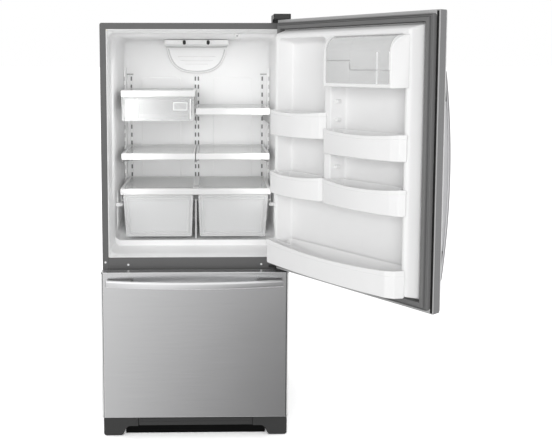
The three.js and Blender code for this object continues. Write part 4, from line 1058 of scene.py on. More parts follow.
accents = drawn(rectangle(-0.0945, -0.0335, 1.333, 1.368), 0.004, [
    (0, front + 0.001), (0.0004, front - 0.0008), (0.0014, front - 0.0015),
    (0.004, front - 0.0015), (0.0052, front + 0.0006)], upright)
for x0, x1, clear in ((-0.2475, -0.2445, 0.012), (-0.0235, -0.0195, 0.008)):
    slab(x0, x1, front - 0.0012, front + 0.002, low.z + clear, high.z - clear, 0.0008,
         body=accents)
made = piece("deli_drawer_accents", accents, CLEAR_RIB, "deli_drawer")
print("bezel and ribs, faces:", len(made.data.polygons))

# %% [markdown]
# The cover over the crispers is a fixed shelf across the whole width: a white frame with two
# panes, rails along both sides for the crispers' flanges, and a support down the middle that
# guides both of them. A small dark clip in the middle joins the support to the frame.

# %% The crisper cover
low, high = extent("crisper_cover")
front, rear, top = low.y, high.y, high.z
rim = bmesh.new()
bar_across(low.x, high.x, rectangle(front, front + 0.014, top - 0.026, top),
           [0.003, 0.002, 0.002, 0.006], 0.004, rim)
bar_across(low.x + 0.001, high.x - 0.001, rectangle(rear - 0.012, rear, top - 0.008, top),
           0.002, 0.002, rim)
for side in (-1, 1):
    for inner, outer, bottom, ceiling, start in (
            (0.309, 0.322, top - 0.0085, top, 0.012), (0.319, 0.322, 0.931, top - 0.004, 0.02),
            (0.3085, 0.3205, 0.944, 0.946, 0.02)):
        slab(*mirrored(side, inner, outer), front + start, rear - 0.005, bottom, ceiling, 0.0008,
             body=rim)
slab(-0.012, 0.012, front + 0.012, rear - 0.01, top - 0.009, top - 0.0005, 0.002, body=rim)
slab(-0.004, 0.004, front + 0.034, rear - 0.005, 0.7763, top - 0.004, 0.001, body=rim)
slab(-0.016, 0.016, front + 0.034, rear - 0.005, 0.944, 0.946, 0.0006, body=rim)
piece("crisper_cover_frame", rim, SHADED_WHITE_TRIM, replaces="crisper_cover")
pane = bmesh.new()
for side in (-1, 1):
    slab(*mirrored(side, 0.01, 0.312), 0.175, 0.537, 0.9922, 0.9972, 0.0006, body=pane)
piece("crisper_cover_pane", pane, GLASS)
clip = drawn(rectangle(-0.009, 0.009, 0.951, 0.971), 0.003,
             [(0, 0.201), (0, 0.186), (0.001, 0.184), (0.003, 0.1835)], upright)
piece("crisper_cover_clip", clip, SLOT_SHADE_AND_DARK_GREY)
print("crisper cover: frame, two panes and a clip")

# %% [markdown]
# The crispers are frosted, so that fruit doesn't show in detail: the mould's surface is etched.
# Their fronts lean in towards the bottom and carry a moulded frame, with a raised ridge round
# the rim and another round the field. The right one is the mirror image of the left one.

# %% The crispers
FROSTED = sheer(plastic("frosted_clear", "clear", (0.9, 0.905, 0.907), gloss=0.3, grain=600.0),
                0.45, 0.82)
FROSTED_RIB = sheer(plastic("frosted_rib", "clear", (0.82, 0.825, 0.825), gloss=0.25,
                            grain=600.0), 0.5, 0.9)


def crisper(node, side):
    """One drawer: its front, its ridges, the basin behind them and two flanges."""
    low, high = extent(node)
    front = low.y
    corners = [Vector((side * x, z)) for x, z in ((0.011, high.z), (0.017, low.z),
                                                  (0.298, low.z), (0.311, high.z))][::side]
    ridges = bmesh.new()
    back = front + 0.001
    for inset, reach, rise in ((0.0012, 0.0070, 0.0006), (0.0144, 0.0206, 0.0001)):
        crest = front - rise
        drawn(corners, 0.007, [(inset, back), (inset, crest + 0.0006), (inset + 0.0006, crest),
                               (reach - 0.0006, crest), (reach, crest + 0.0006), (reach, back)],
              upright, 6, shut=True, body=ridges)
    piece(node + "_ridges", ridges, FROSTED_RIB, node)
    body = framed_front(corners, 0.007, front, [
        (0.0075, 0.0), (0.0088, 0.4), (0.0125, 0.4), (0.0138, 0.12), (0.021, 0.12),
        (0.0222, 0.5), (0.024, 0.55)], bmesh.new())
    drawn(rectangle(*mirrored(side, 0.0225, 0.2965), front + 0.005, high.y),
          [0.004, 0.004, 0.014, 0.014], tray_profile(0.793, 0.9493, 0.0025, 0.006, 0.009), level,
          body=body)
    for near, far in ((0.0043, 0.0245), (0.2945, 0.3187)):
        slab(*mirrored(side, near, far), front + 0.037, high.y, 0.9463, 0.9493, 0.0008,
             body=body)
    piece(node + "_pan", body, FROSTED, node, node)


crisper("crisper_left", -1)
crisper("crisper_right", 1)
print("crispers:", 2)

# %% [markdown]
# ## The steel fronts
#
# Door and drawer are pans of brushed stainless steel, with their vertical edges rolled to a
# 13 mm radius and the top and bottom folded. The grain runs across, so its stretch is large
# upwards and small in the other two directions.

# %% Front pans
FRONT_STEEL = brushed("brushed_front_steel", 0.72, (8.0, 8.0, 900.0), gloss=0.24,
                      streak=0.12, relief=0.03)
ROLL = 0.013
FOLD = 0.0012


def front_pan(name, node, rides):
    """The steel pan, rolled at its upright edges and folded at top and bottom."""
    low, high = extent(node)
    pan = drawn(rectangle(low.x, high.x, low.y, high.y), [ROLL, ROLL, FOLD, FOLD],
                rounded_ends(low.z, high.z, 0.0025), level, 10)
    return piece(name, pan, FRONT_STEEL, rides, node)


made = front_pan("door_front", "door_panel", "door")
front_pan("drawer_front", "drawer_panel", "freezer_drawer")
print("door front", [round(size, 3) for size in made.dimensions])

# %% [markdown]
# Each front is closed against the cabinet by a gasket of soft vinyl, extruded as one profile and
# welded to a frame: a flat foot that clips into the front, a bellows waist with lips, and the
# ridge that holds the magnet. The profile is drawn round the frame as it is in the extrusion.

# %% Gaskets
VINYL = plastic("gasket_vinyl", "gasket", 0.175, gloss=0.6, drift=0.1, grain=1500.0, relief=0.2)
GASKET_FOOT = 0.017


def seal_round(name, node, rides):
    """A gasket: its profile drawn round its front, from the foot over the ridge to the lips."""
    low, high = extent(node)
    back, tip = low.y, high.y
    foot = back + GASKET_FOOT
    profile = [(0.0006, back), (0.0274, back), (0.028, back + 0.0008), (0.0279, back + 0.006),
               (0.0266, back + 0.0085), (0.0268, foot - 0.0045), (0.0262, foot + 0.001),
               (0.0260, tip - 0.0018), (0.0250, tip - 0.0003), (0.0232, tip), (0.0150, tip),
               (0.0132, tip - 0.0003), (0.0123, tip - 0.0018), (0.0121, foot + 0.0012),
               (0.0136, foot - 0.0016), (0.0124, foot - 0.0028), (0.0100, foot - 0.0004),
               (0.0074, foot - 0.0004), (0.0052, foot - 0.0032), (0.0040, foot - 0.0006),
               (0.0016, foot - 0.0008), (0.0003, foot - 0.0026), (0.0, back + 0.0008)]
    body = drawn(rectangle(low.x, high.x, low.z, high.z), 0.008, profile, upright, 6, shut=True)
    return piece(name, body, VINYL, rides, node)


made = seal_round("door_seal", "door_gasket", "door")
seal_round("drawer_seal", "drawer_gasket", "freezer_drawer")
print("door seal, faces:", len(made.data.polygons))

# %% [markdown]
# Outside the gasket, the steel turns in round the edge of each front as a narrow hem, which is
# seen from behind when the door is open. It is satin grey rather than brushed. Along the door's
# latch edge a black strip on the hem paints the shade in the gap beside the gasket.

# %% The hem round the inner side of each front
PAN_HEM = plastic("pan_hem_enamel", "stainless", 0.5, gloss=0.4, drift=0.08)
HEM = -0.0275


def hem(name, node, rides):
    """The return of the steel pan that the gasket doesn't cover."""
    low, high = extent(node)
    corners = rectangle(low.x + 0.0002, high.x - 0.0002, low.z + 0.0002, high.z - 0.0002)
    profile = [(0.0002, HEM - 0.003), (0.0002, HEM + 0.0002), (0.0010, HEM + 0.0006),
               (0.0122, HEM + 0.0006), (0.0130, HEM - 0.001), (0.0130, HEM - 0.003)]
    piece(name, drawn(corners, 0.002, profile, upright, 3, shut=True), PAN_HEM, rides)


hem("door_hem", "door_panel", "door")
hem("drawer_hem", "drawer_panel", "freezer_drawer")
low, high = extent("door_panel")
# A black strip along the latch edge: painted shade in the gap beside the gasket.
latch_shade = slab(low.x + 0.0035, low.x + 0.0115, HEM, HEM + 0.0022, low.z + 0.004,
                   high.z - 0.004, 0.0006)
piece("door_latch_painted_shade", latch_shade, BLACK_MOULDING_AND_PAINTED_SHADE, "door")
print("hems: 2, strip along the latch edge: 1")

# %% [markdown]
# ## The handles
#
# Each handle is a flat stainless bar, bowed outwards like a drawn bow, with all its long edges
# rounded. A straight bar could be bent by a modifier, but its ends would then lean. Here the bow
# is a curve in plan of even thickness, which is then given its height. Grey mouldings at its two
# ends carry it.

# %% Bowed bars
BAR_STEEL = brushed("brushed_bar_steel", 0.92, (60.0, 60.0, 60.0), gloss=0.4,
                    streak=0.06, relief=0.02)
MOUNT_MOULDING = plastic("handle_mount_moulding", "mount", 0.12, gloss=0.45, drift=0.08,
                         grain=1200.0, relief=0.2)
BAR_THICKNESS = 0.013
BOW_STEPS = 40


def handle_bar(name, node, rides, across, stands):
    """A bowed bar, upright or lying, whose middle line runs at one distance across."""
    low, high = extent(node)
    along, width = (2, 0) if stands else (0, 2)
    middle = (low[along] + high[along]) / 2
    half = (high[along] - low[along]) / 2
    height = (high[width] - low[width]) / 2
    end = high.y - BAR_THICKNESS
    shares = [-1 + 2 * step / BOW_STEPS for step in range(BOW_STEPS + 1)]
    face = [Vector((share * half, end + (low.y - end) * (1 - share * share)))
            for share in shares]
    corners = face + [point + Vector((0, BAR_THICKNESS)) for point in reversed(face)]
    radii = [0.0] * len(corners)
    for corner in (0, BOW_STEPS, BOW_STEPS + 1, -1):
        radii[corner] = 0.003
    profile = [(0.0052, -height), (0.0034, -height + 0.0006), (0.0017, -height + 0.002),
               (0.0005, -height + 0.0045), (0, -height + 0.008)]
    profile += [(inset, -depth) for inset, depth in reversed(profile)]

    def place(a, b, depth):
        """Stands the bar up or lays it down."""
        return Vector((across + depth, b, middle + a) if stands else
                      (middle + a, b, across + depth))

    return piece(name, drawn(corners, radii, profile, place, 4), BAR_STEEL, rides, node)


made = handle_bar("door_bar", "door_handle", "door", -0.345, True)
handle_bar("drawer_bar", "drawer_handle", "freezer_drawer", 0.659, False)
for node in ("door_handle_mount_upper", "door_handle_mount_lower", "drawer_handle_mount_left",
             "drawer_handle_mount_right"):
    softened(node, MOUNT_MOULDING, 0.0025, 3)
print("door bar", [round(size, 3) for size in made.dimensions], "mounts: 4")

# %% [markdown]
# ## Inside the door
#
# The door's liner is a second vacuum forming. A wide rim stands up from its flange and reaches
# into the cabinet when the door is shut, a divider splits the upper part in two columns, and the
# bins hook on the rim. Two outlines share the flat crest of the rim: the outer one is drawn in
# from the flange, and the contour of the recess is drawn down from the crest to its floor.

# %% The door liner
CREST = 0.045                    # how far the rim reaches past the cabinet's face
RECESS = -0.022                  # the recess floor
recess = [Vector(corner) for corner in (
    (-0.300, 0.775), (0.300, 0.775), (0.300, 1.624), (0.054, 1.624), (0.054, 1.080),
    (0.022, 1.080), (0.022, 1.624), (-0.300, 1.624))]
recess_radii = [0.018, 0.018, 0.018, 0.014, 0.012, 0.012, 0.014, 0.018]
low, high = extent("door_liner")
forming = bmesh.new()
outer = banded(forming, stepped(rectangle(low.x, high.x, low.z, high.z), 0.008, [
    (0.001, low.y), (0, low.y + 0.001), (0, -0.0280), (0.0008, -0.0270), (0.0375, -0.0270),
    (0.0400, -0.0262), (0.0415, -0.0235), (0.0425, -0.0180), (0.0545, 0.0300),
    (0.0560, 0.0355), (0.0585, 0.0400), (0.0620, 0.0435), (0.0655, 0.0448), (0.0670, CREST)],
    steps=7, even=True))
inner = banded(forming, stepped(recess, recess_radii, [
    (-0.0045, CREST), (-0.0020, CREST - 0.0006), (-0.0004, CREST - 0.0022),
    (0.0006, CREST - 0.0050), (0.0118, RECESS + 0.0100), (0.0135, RECESS + 0.0050),
    (0.0165, RECESS + 0.0016), (0.0205, RECESS)]))
flat_face(forming, outer[0])
flat_face(forming, outer[-1], [inner[0]])
flat_face(forming, inner[-1])
made = piece("door_liner_skin", forming, LINER, "door", "door_liner", sharp=SHARP_ON_SHEET)
print(made.name, "faces", len(made.data.polygons))

# %% [markdown]
# Pairs of small lugs on the walls of the two columns carry the bins, so the bins can be hung at
# other heights. They are part of the same moulding. The divider ends above the bottom bin, so
# its two sides carry no lugs below that.

# %% Bin lugs
LUG_HEIGHTS = (0.930, 0.985, 1.060, 1.160, 1.225, 1.330, 1.395, 1.50, 1.555)
DIVIDER_FOOT = 1.08
lugs = bmesh.new()
for x, lowest in ((-0.294, 0.0), (0.0125, DIVIDER_FOOT), (0.0635, DIVIDER_FOOT)):
    for z in LUG_HEIGHTS:
        if z >= lowest:
            slab(x - 0.0075, x + 0.0075, 0.006, 0.030, z - 0.006, z + 0.006, 0.0025, 0.004, lugs)
made = piece("door_bin_lugs", lugs, LINER, "door")
print("lugs, faces:", len(made.data.polygons))

# %% [markdown]
# A door bin is an open tray whose back sits in the recess while two ears rest on the rim. Its
# front bows out and is swept back at the latch end, so that it clears the shelves as the door
# swings. Seen from above that is one outline, so a function gives it for every bin.

# %% A bin's plan
RIM_SEAT = 0.0453                # where mouldings rest on the liner's rim
BOW_POINTS = 14


def bin_plan(low, high, back_left, back_right, end, bow):
    """A bin seen from above, and the radius of each of its corners."""
    swept = low.x + 0.046
    front = []
    for step in range(BOW_POINTS + 1):
        t = step / BOW_POINTS
        rise = 1 - (2 * t - 1) ** 2
        front.append(Vector((high.x + (swept - high.x) * t,
                             end + (bow - end) * (0.45 * t + 0.8 * rise))))
    corner = front[-1].y
    plan = [Vector((back_left, low.y)), Vector((back_right, low.y)),
            Vector((back_right, RIM_SEAT)), Vector((high.x, RIM_SEAT)), *front,
            Vector((low.x + 0.016, corner - (corner - RIM_SEAT) * 0.3)),
            Vector((low.x, RIM_SEAT + 0.006)), Vector((low.x, RIM_SEAT)),
            Vector((back_left, RIM_SEAT))]
    radii = [0.008, 0.008, 0.0015, 0.0015, 0.008, *[0.0] * (BOW_POINTS - 1), 0.024, 0.018, 0.003,
             0.0015, 0.0015]
    return plan, radii


def dipped(low, high, dip, reach, power):
    """A function that lowers a bin's rim towards the middle of its front."""
    middle = (low.x + high.x) / 2
    half = (high.x - low.x) / 2 * reach

    def lower(a, depth):
        """The height of a point once the dip has lowered it."""
        share = max(0.0, 1 - ((a - middle) / half) ** 2)
        return depth - dip * share * ((depth - low.z) / (high.z - low.z)) ** power

    return lower


print("points of a bin's front:", BOW_POINTS + 1)

# %% [markdown]
# Four half-width bins hang in the two columns. Their walls are 4 mm thick, with a thicker lip
# round the rim that keeps them stiff, and the rim dips a little in the middle so that bottles
# come out easily. The dip is made as the body is drawn: the higher a point, the more it sinks.

# %% The four half-width bins
for side, back_left, back_right, dip in (("left", 0.068, 0.286, 0.007),
                                         ("right", -0.286, 0.008, 0.009)):
    for row in ("upper", "middle"):
        node = "bin_" + row + "_" + side
        low, high = extent(node)
        lower = dipped(low, high, dip, 0.9, 2)
        tray = drawn(*bin_plan(low, high, back_left, back_right, 0.070, 0.093),
                     tray_profile(low.z, high.z, 0.004, band=0.013),
                     lambda a, b, depth: Vector((a, b, lower(a, depth))), 5)
        made = piece(node + "_tray", tray, TRIM, "door", node)
        print(made.name, [round(size, 3) for size in made.dimensions])

# %% [markdown]
# The bottom bin is the wide one for tall bottles. Its deep front runs from ear to ear, and behind
# it a shallower well stands in the recess. The two trays are drawn one after the other into one
# body, and each is cut down where the other takes over.

# %% The bottom bin
WELL_FLOOR = 0.792
low, high = extent("bin_bottom")
lower = dipped(low, high, 0.012, 0.95, 3)


def front_place(a, b, depth):
    """Lowers the front tray's back wall to the floor of the well."""
    return Vector((a, b, min(depth, WELL_FLOOR + 0.0015) if b < RIM_SEAT + 0.004
                   else lower(a, depth)))


def back_place(a, b, depth):
    """Lowers the well's front wall to its floor."""
    return Vector((a, b, min(depth, WELL_FLOOR + 0.003) if b > RIM_SEAT + 0.001
                   else lower(a, depth)))


plan, radii = bin_plan(low, high, -0.277, 0.277, 0.086, 0.108)
tray = drawn(plan[3:-1], radii[3:-1], tray_profile(low.z, high.z, 0.004, fillet=0.006,
                                                   band=0.018), front_place, 5)
drawn(rectangle(-0.277, 0.277, low.y, RIM_SEAT + 0.004), [0.01, 0.01, 0.001, 0.001],
      tray_profile(WELL_FLOOR, high.z, 0.0025), back_place, 5, body=tray)
made = piece("bin_bottom_tray", tray, TRIM, "door", "bin_bottom")
print(made.name, [round(size, 3) for size in made.dimensions])

# %% [markdown]
# The dairy compartment keeps butter and cheese a little warmer. Two white cheeks with one large
# radius stand on a thick floor, and a clear cover follows that curve and flips up. The cheek at
# the hinge end leans in as it comes forward, and the latch end is a broad wall that is swept
# back, so each is drawn straight and then moved over by its own small function.

# %% The dairy compartment
low, high = extent("dairy_compartment")
ARC = 0.055
REACH = high.y - RIM_SEAT        # how far the compartment stands out from the rim
HINGE_CHEEK = 0.022              # outer face of the cheek nearer the hinge, at the rim
CHEEK_LEAN = 0.014               # how far that face leans in by the time it reaches the front
CHEEK = 0.011
LATCH_CHEEK = -0.283             # inner face of the latch end's wall
FLOOR = 0.013
CHEEK_STEPS = 8


def dairy_curve(moved, steps=16):
    """The curve from the front up to the top, moved in by a distance."""
    turns = [math.pi / 2 * step / steps for step in range(steps + 1)]
    radius = ARC - moved
    centre = Vector((high.y - ARC, high.z - ARC))
    return [centre + radius * Vector((math.cos(turn), math.sin(turn))) for turn in turns]


def leaning(a, b, depth):
    """Moves an upright wall over, further the further out it is."""
    return Vector((depth - CHEEK_LEAN * max(0.0, (a - RIM_SEAT) / REACH), a, b))


def swept(a, b, depth):
    """Draws the latch end's outer face in towards its inner face as it comes forward."""
    out = min(max((a - RIM_SEAT) / REACH, 0.0), 1.0)
    return Vector((LATCH_CHEEK + (depth - LATCH_CHEEK) * (1 - 0.86 * out ** 1.6), a, b))


def cheek(x0, x1, edge, place, body):
    """One end wall: straight below, rounded where it turns from front to top."""
    below = [Vector((RIM_SEAT + REACH * step / CHEEK_STEPS, low.z))
             for step in range(CHEEK_STEPS + 1)]
    corners = [*below, Vector((high.y, low.z + 0.04)), *dairy_curve(0.0),
               Vector((RIM_SEAT, high.z))]
    drawn(corners, 0, rounded_ends(x0, x1, edge), place, 1, body=body)


dairy = bmesh.new()
cheek(low.x, LATCH_CHEEK, 0.003, swept, dairy)
cheek(HINGE_CHEEK - CHEEK, HINGE_CHEEK, 0.0025, leaning, dairy)
ledge = [Vector((low.x + 0.004, RIM_SEAT)), Vector((HINGE_CHEEK - 0.001, RIM_SEAT)),
         Vector((HINGE_CHEEK - CHEEK_LEAN - 0.001, high.y - 0.0005)),
         Vector((LATCH_CHEEK - 0.006, high.y - 0.0005))]
drawn(ledge, [0.002, 0.002, 0.004, 0.006], rounded_ends(low.z, low.z + FLOOR, 0.0025), level, 4,
      body=dairy)
slab(-0.285, 0.007, low.y, RIM_SEAT + 0.002, low.z + 0.001, low.z + 0.012, 0.002, body=dairy)
made = piece("dairy_cheeks_and_floor", dairy, TRIM, "door", "dairy_compartment")
print(made.name, "faces", len(made.data.polygons))

# %% [markdown]
# The cover is one clear sheet, but its lower edge is stepped: it reaches further down over the
# narrow part at the latch end. A low clear wall closes the space under it and stays with the
# door when the cover flips up, so the two are separate pieces.

# %% The dairy cover and the wall under it
COVER_LEFT = LATCH_CHEEK + 0.0006
COVER_RIGHT = HINGE_CHEEK - CHEEK - CHEEK_LEAN - 0.0008
STEP_X = -0.113
HIGH_EDGE = 1.540
LOW_EDGE = 1.508
COVER_GAP = 0.0012
WALL_STEP = STEP_X - 0.0008
floor_top = low.z + FLOOR


def dairy_sheet(x0, x1, bottom, body):
    """A clear sheet, 2.5 mm thick, from its lower edge up and over to the hinge."""
    outer, inner = 0.0015, 0.004
    corners = [Vector((high.y - inner, bottom)), Vector((high.y - outer, bottom)),
               *dairy_curve(outer), *reversed(dairy_curve(inner))]
    drawn(corners, 0, rounded_ends(x0, x1, 0.0006), sideways, 2, body=body)


def front_strips(name, material, rides, strips):
    """Thin strips on the compartment's front: two ends, bottom, top, and how far back they
    start and stop."""
    body = bmesh.new()
    for x0, x1, z0, z1, back, out in strips:
        slab(x0, x1, high.y - back, high.y - out, z0, z1, 0.0006, body=body)
    return piece(name, body, material, rides)


sheet = bmesh.new()
dairy_sheet(COVER_LEFT, STEP_X, LOW_EDGE, sheet)
dairy_sheet(STEP_X, COVER_RIGHT, HIGH_EDGE, sheet)
piece("dairy_cover_sheet", sheet, CLEAR, "dairy_cover", "dairy_cover")
front_strips("dairy_front_wall", CLEAR, "door", [
    (COVER_LEFT, WALL_STEP, floor_top, LOW_EDGE - COVER_GAP, 0.004, 0.0015),
    (WALL_STEP, COVER_RIGHT, floor_top, HIGH_EDGE - COVER_GAP, 0.004, 0.0015)])
print("the cover's edge steps down by", round(HIGH_EDGE - LOW_EDGE, 3))

# %% [markdown]
# Moulded ribs stiffen the cover and the wall. The cover's cut edge looks grey, because there the
# eye looks into the depth of the sheet instead of through it. A clear shader gives that only with
# many light bounces, so thin strips with a grey finish of their own stand in for it.

# %% Ribs and edge of the dairy cover
EDGE_SHADE = plastic("cut_edge", "clear", 0.45, gloss=0.3)
RIB_LEFT, RIB_RIGHT = -0.2332, -0.2268
RIB_TOP = 1.566
front_strips("dairy_cover_ribs", CLEAR_RIB, "dairy_cover", [
    (RIB_LEFT, RIB_RIGHT, LOW_EDGE + 0.001, RIB_TOP, 0.0030, 0.0),
    (COVER_LEFT, COVER_LEFT + 0.004, LOW_EDGE + 0.001, high.z - ARC, 0.0030, 0.0005)])
front_strips("dairy_front_rib", CLEAR_RIB, "door", [
    (RIB_LEFT, RIB_RIGHT, floor_top, LOW_EDGE - 0.0015, 0.0030, 0.0)])
made = front_strips("dairy_cover_edge", EDGE_SHADE, "dairy_cover", [
    (STEP_X + 0.001, COVER_RIGHT, HIGH_EDGE - COVER_GAP, HIGH_EDGE + 0.0006, 0.0042, 0.0002),
    (RIB_RIGHT + 0.0008, STEP_X - 0.001, LOW_EDGE - COVER_GAP, LOW_EDGE + 0.0006, 0.0042, 0.0002),
    (WALL_STEP, STEP_X + 0.0008, LOW_EDGE, HIGH_EDGE - 0.01, 0.0042, 0.0002)])
print(made.name, "faces", len(made.data.polygons))

# %% [markdown]
# ## The freezer drawer's inner parts
#
# They show when the drawer is out. Behind its front is a shallow plug of formed plastic that
# carries the gasket and closes the mouth of the compartment.

# %% The drawer's plug
low, high = extent("drawer_liner")
plug = through(stepped(rectangle(low.x, high.x, low.z, high.z), 0.008, [
    (0.001, low.y), (0, low.y + 0.001), (0, -0.0280), (0.0008, -0.0270), (0.0405, -0.0270),
    (0.0430, -0.0262), (0.0445, -0.0240), (0.0475, -0.0130), (0.0490, -0.0095),
    (0.0520, -0.0065), (0.0560, -0.0052), (0.0600, -0.0050), (0.0900, -0.0050),
    (0.0930, -0.0058), (0.0960, -0.0095), (0.0990, -0.0120), (0.1040, -0.0130)],
    steps=7, even=True))
made = piece("drawer_plug", plug, LINER, "freezer_drawer", "drawer_liner", sharp=SHARP_ON_SHEET)
print(made.name, [round(size, 3) for size in made.dimensions])

# %% [markdown]
# A deep basket hangs on the drawer's slides and a shallow tray slides over it. Both are white
# mouldings with a turned-over rim and a row of upright ribs outside, which lets the wall be
# thin. Zinc-plated rails and slides carry them, and those only need their edges softened.


# %% Basket and tray
def ribbed_basket(node, rides, draft):
    """A white open basket with a turned-over rim and upright ribs round its outside."""
    low, high = extent(node)
    left, right = low.x + 0.0103, high.x - 0.0103
    body = drawn(rectangle(left, right, low.y, high.y), 0.014,
                 tray_profile(low.z, high.z, 0.003, draft, 0.010), level)
    for x0, x1 in ((low.x, left + 0.002), (right - 0.002, high.x)):
        slab(x0, x1, low.y + 0.004, high.y - 0.004, high.z - 0.004, high.z, 0.001, body=body)
    ribs = int((high.y - low.y - 0.04) / 0.03) + 1
    for index in range(ribs):
        y = low.y + 0.02 + index * 0.03
        for x0, x1 in ((left - 0.0018, left + 0.003), (right - 0.003, right + 0.0018)):
            slab(x0, x1, y - 0.0015, y + 0.0015, low.z + 0.018, high.z - 0.012, 0.0007, body=body)
    piece(node + "_moulding", body, TRIM, rides, node)
    return ribs


print("ribs:", ribbed_basket("freezer_basket", "freezer_drawer", 0.004),
      ribbed_basket("freezer_tray", "freezer_tray", 0.003))
for node in ("freezer_rail_left", "freezer_rail_right", "drawer_slide_left",
             "drawer_slide_right"):
    softened(node, ZINC, 0.0006)

# %% [markdown]
# ## Hinges, base and running gear
#
# The hinge brackets are cut and formed from thick plate and painted, and a moulded cap covers
# the upper one. Their outlines are right already, so only their edges are rounded: a plate's a
# little, a moulding's more.

# %% Hinges
HINGE_PAINT = plastic("dark_grey_enamel", "hinge_paint", 0.032, gloss=0.38, drift=0.08,
                      relief=0.15)
for node, width, segments in (("top_hinge_bracket", 0.0008, 2), ("top_hinge_cover", 0.0018, 3),
                              ("centre_hinge_bracket", 0.0006, 2)):
    made = softened(node, HINGE_PAINT, width, segments)
    print(made.name, "faces", len(made.data.polygons))

# %% [markdown]
# Two leg covers and the grille between them hide the base. Air for the condenser passes under
# the grille, where the real one shows a dark gap above the floor, so a nearly black sheet stands
# a little behind it as painted shade of that gap. Three raised bars run along the grille.

# %% Base trim
DARK_MOULDING = plastic("dark_grey_moulding", "dark_trim", 0.04, gloss=0.5, drift=0.1,
                        grain=1200.0, relief=0.3)
PAINTED_GAP_SHADE = plastic("painted_gap_shade_black", "dark_trim", 0.005, gloss=0.85, drift=0.3,
                    Specular_IOR_Level=0.1)
GRILLE_FOOT = 0.042
low, high = extent("base_grille")
grille = slab(low.x, high.x, low.y, low.y + 0.012, GRILLE_FOOT, high.z, 0.0016)
for bar in range(3):
    z = GRILLE_FOOT + 0.012 + bar * 0.013
    slab(low.x + 0.012, high.x - 0.012, low.y - 0.0012, low.y + 0.004, z, z + 0.005, 0.0012,
         body=grille)
piece("toe_grille", grille, DARK_MOULDING, replaces="base_grille")
# A nearly black sheet behind the grille: painted shade of the gap under it.
gap_shade = slab(-0.289, 0.289, low.y + 0.014, low.y + 0.0165, 0.003, high.z - 0.004, 0.0008)
piece("under_grille_painted_shade", gap_shade, PAINTED_GAP_SHADE)
for side in ("left", "right"):
    softened("leg_cover_" + side, DARK_MOULDING, 0.0022, 3)
softened("base_pan", ZINC, 0.0005, 1)
print("bars on the grille:", 3)

# %% [markdown]
# The front stands on two levelling legs, each a steel stud with a rolled thread over a flat
# foot. A helix would be truer for the thread, but at a pitch of 1.25 mm rings look the same, and
# the lathe makes them. The six-sided neck for the spanner is turned with only six segments.


# %% Levelling legs
PITCH = 0.00125


def levelling_leg(node):
    """Foot, neck and threaded stud, one on top of the other."""
    low, high = extent(node)
    x, y = (low.x + high.x) / 2, (low.y + high.y) / 2
    body = lathed((x, y, 0), (0, 0, 1), [
        (0.0185, 0.0), (0.02, 0.0012), (0.02, 0.005), (0.019, 0.0068), (0.014, 0.0078),
        (0.0085, 0.0082)], 40)
    lathed((x, y, 0.008), (0, 0, 1), [(0.0088, 0), (0.0088, 0.006), (0.0078, 0.0072)], 6, body)
    thread = [(0.0042, 0.0)]
    for turn in range(int((high.z - 0.016) / PITCH)):
        thread += [(0.005, PITCH * (turn + 0.35)), (0.0042, PITCH * (turn + 0.85))]
    lathed((x, y, 0.0148), (0, 0, 1), thread, 20, body)
    return piece(node + "_stud", body, ZINC, node, node)


print("pitch of the thread:", PITCH)

# %% [markdown]
# At the rear, two rollers let the appliance be pushed back into its place. Each is a hard tyre
# with rounded shoulders and a groove either side, on a steel axle.

# %% Rollers
RUBBER = plastic("roller_rubber", "roller", 0.03, gloss=0.75, drift=0.2, grain=1500.0, relief=0.3)
TYRE = [(0.0075, -0.0098), (0.0135, -0.0098), (0.014, -0.0085), (0.0165, -0.0085),
        (0.0175, -0.01), (0.0188, -0.0094), (0.0198, -0.0075), (0.02, -0.005)]
TYRE += [(radius, -along) for radius, along in reversed(TYRE)]


def rear_roller(node):
    """A tyre on its axle."""
    low, high = extent(node)
    centre = (low + high) / 2
    half = (high.x - low.x) / 2
    body = lathed(centre, (1, 0, 0), TYRE, 48)
    lathed(centre, (1, 0, 0), [(0.0035, -half), (0.004, 0.0006 - half), (0.004, half - 0.0006),
                               (0.0035, half)], 20, body)
    return piece(node + "_wheel", body, RUBBER, node, node)


for side in ("left", "right"):
    for made in (levelling_leg("levelling_leg_" + side), rear_roller("rear_roller_" + side)):
        print(made.name, [round(size, 3) for size in made.dimensions])

# %% [markdown]
# The compressor is a welded steel pot: two drawn shells with a weld flange between them, enamelled
# black, on a foot plate, with the suction pipe's stub on top. The fan beside it cools the
# condenser, and its blades are right already.

# %% Compressor and fan
COMPRESSOR_ENAMEL = plastic("black_enamel", "compressor_black", 0.02, gloss=0.25, drift=0.2,
                            grain=300.0)
POT_X = -0.070
low, high = extent("compressor")
y, base = (low.y + high.y) / 2, low.z
pot = lathed((POT_X, y, base), (0, 0, 1), [
    (0.058, 0.0), (0.066, 0.004), (0.072, 0.012), (0.0745, 0.03), (0.0752, 0.058),
    (0.0752, 0.066), (0.0776, 0.0665), (0.078, 0.0685), (0.0776, 0.0705), (0.0752, 0.071),
    (0.0748, 0.092), (0.0735, 0.108), (0.069, 0.124), (0.06, 0.137), (0.046, 0.145),
    (0.028, 0.149), (0.008, 0.15)], 64)
slab(low.x, high.x, y - 0.045, y + 0.045, base, base + 0.004, 0.001, 0.012, pot)
lathed((POT_X + 0.03, y, base + 0.14), (0, 0, 1),
       [(0.005, 0), (0.005, 0.026), (0.0042, 0.0275), (0.0042, 0.0297)], 20, pot)
made = piece("compressor_pot", pot, COMPRESSOR_ENAMEL, replaces="compressor")
softened("condenser_fan", BLACK_MOULDING_AND_PAINTED_SHADE, 0.0006)
print(made.name, [round(size, 3) for size in made.dimensions])

# %% [markdown]
# The foam between steel and liners is poured in and never seen whole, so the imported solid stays
# as it is and only gets its colour: the yellow of rigid polyurethane, coarse and dull.

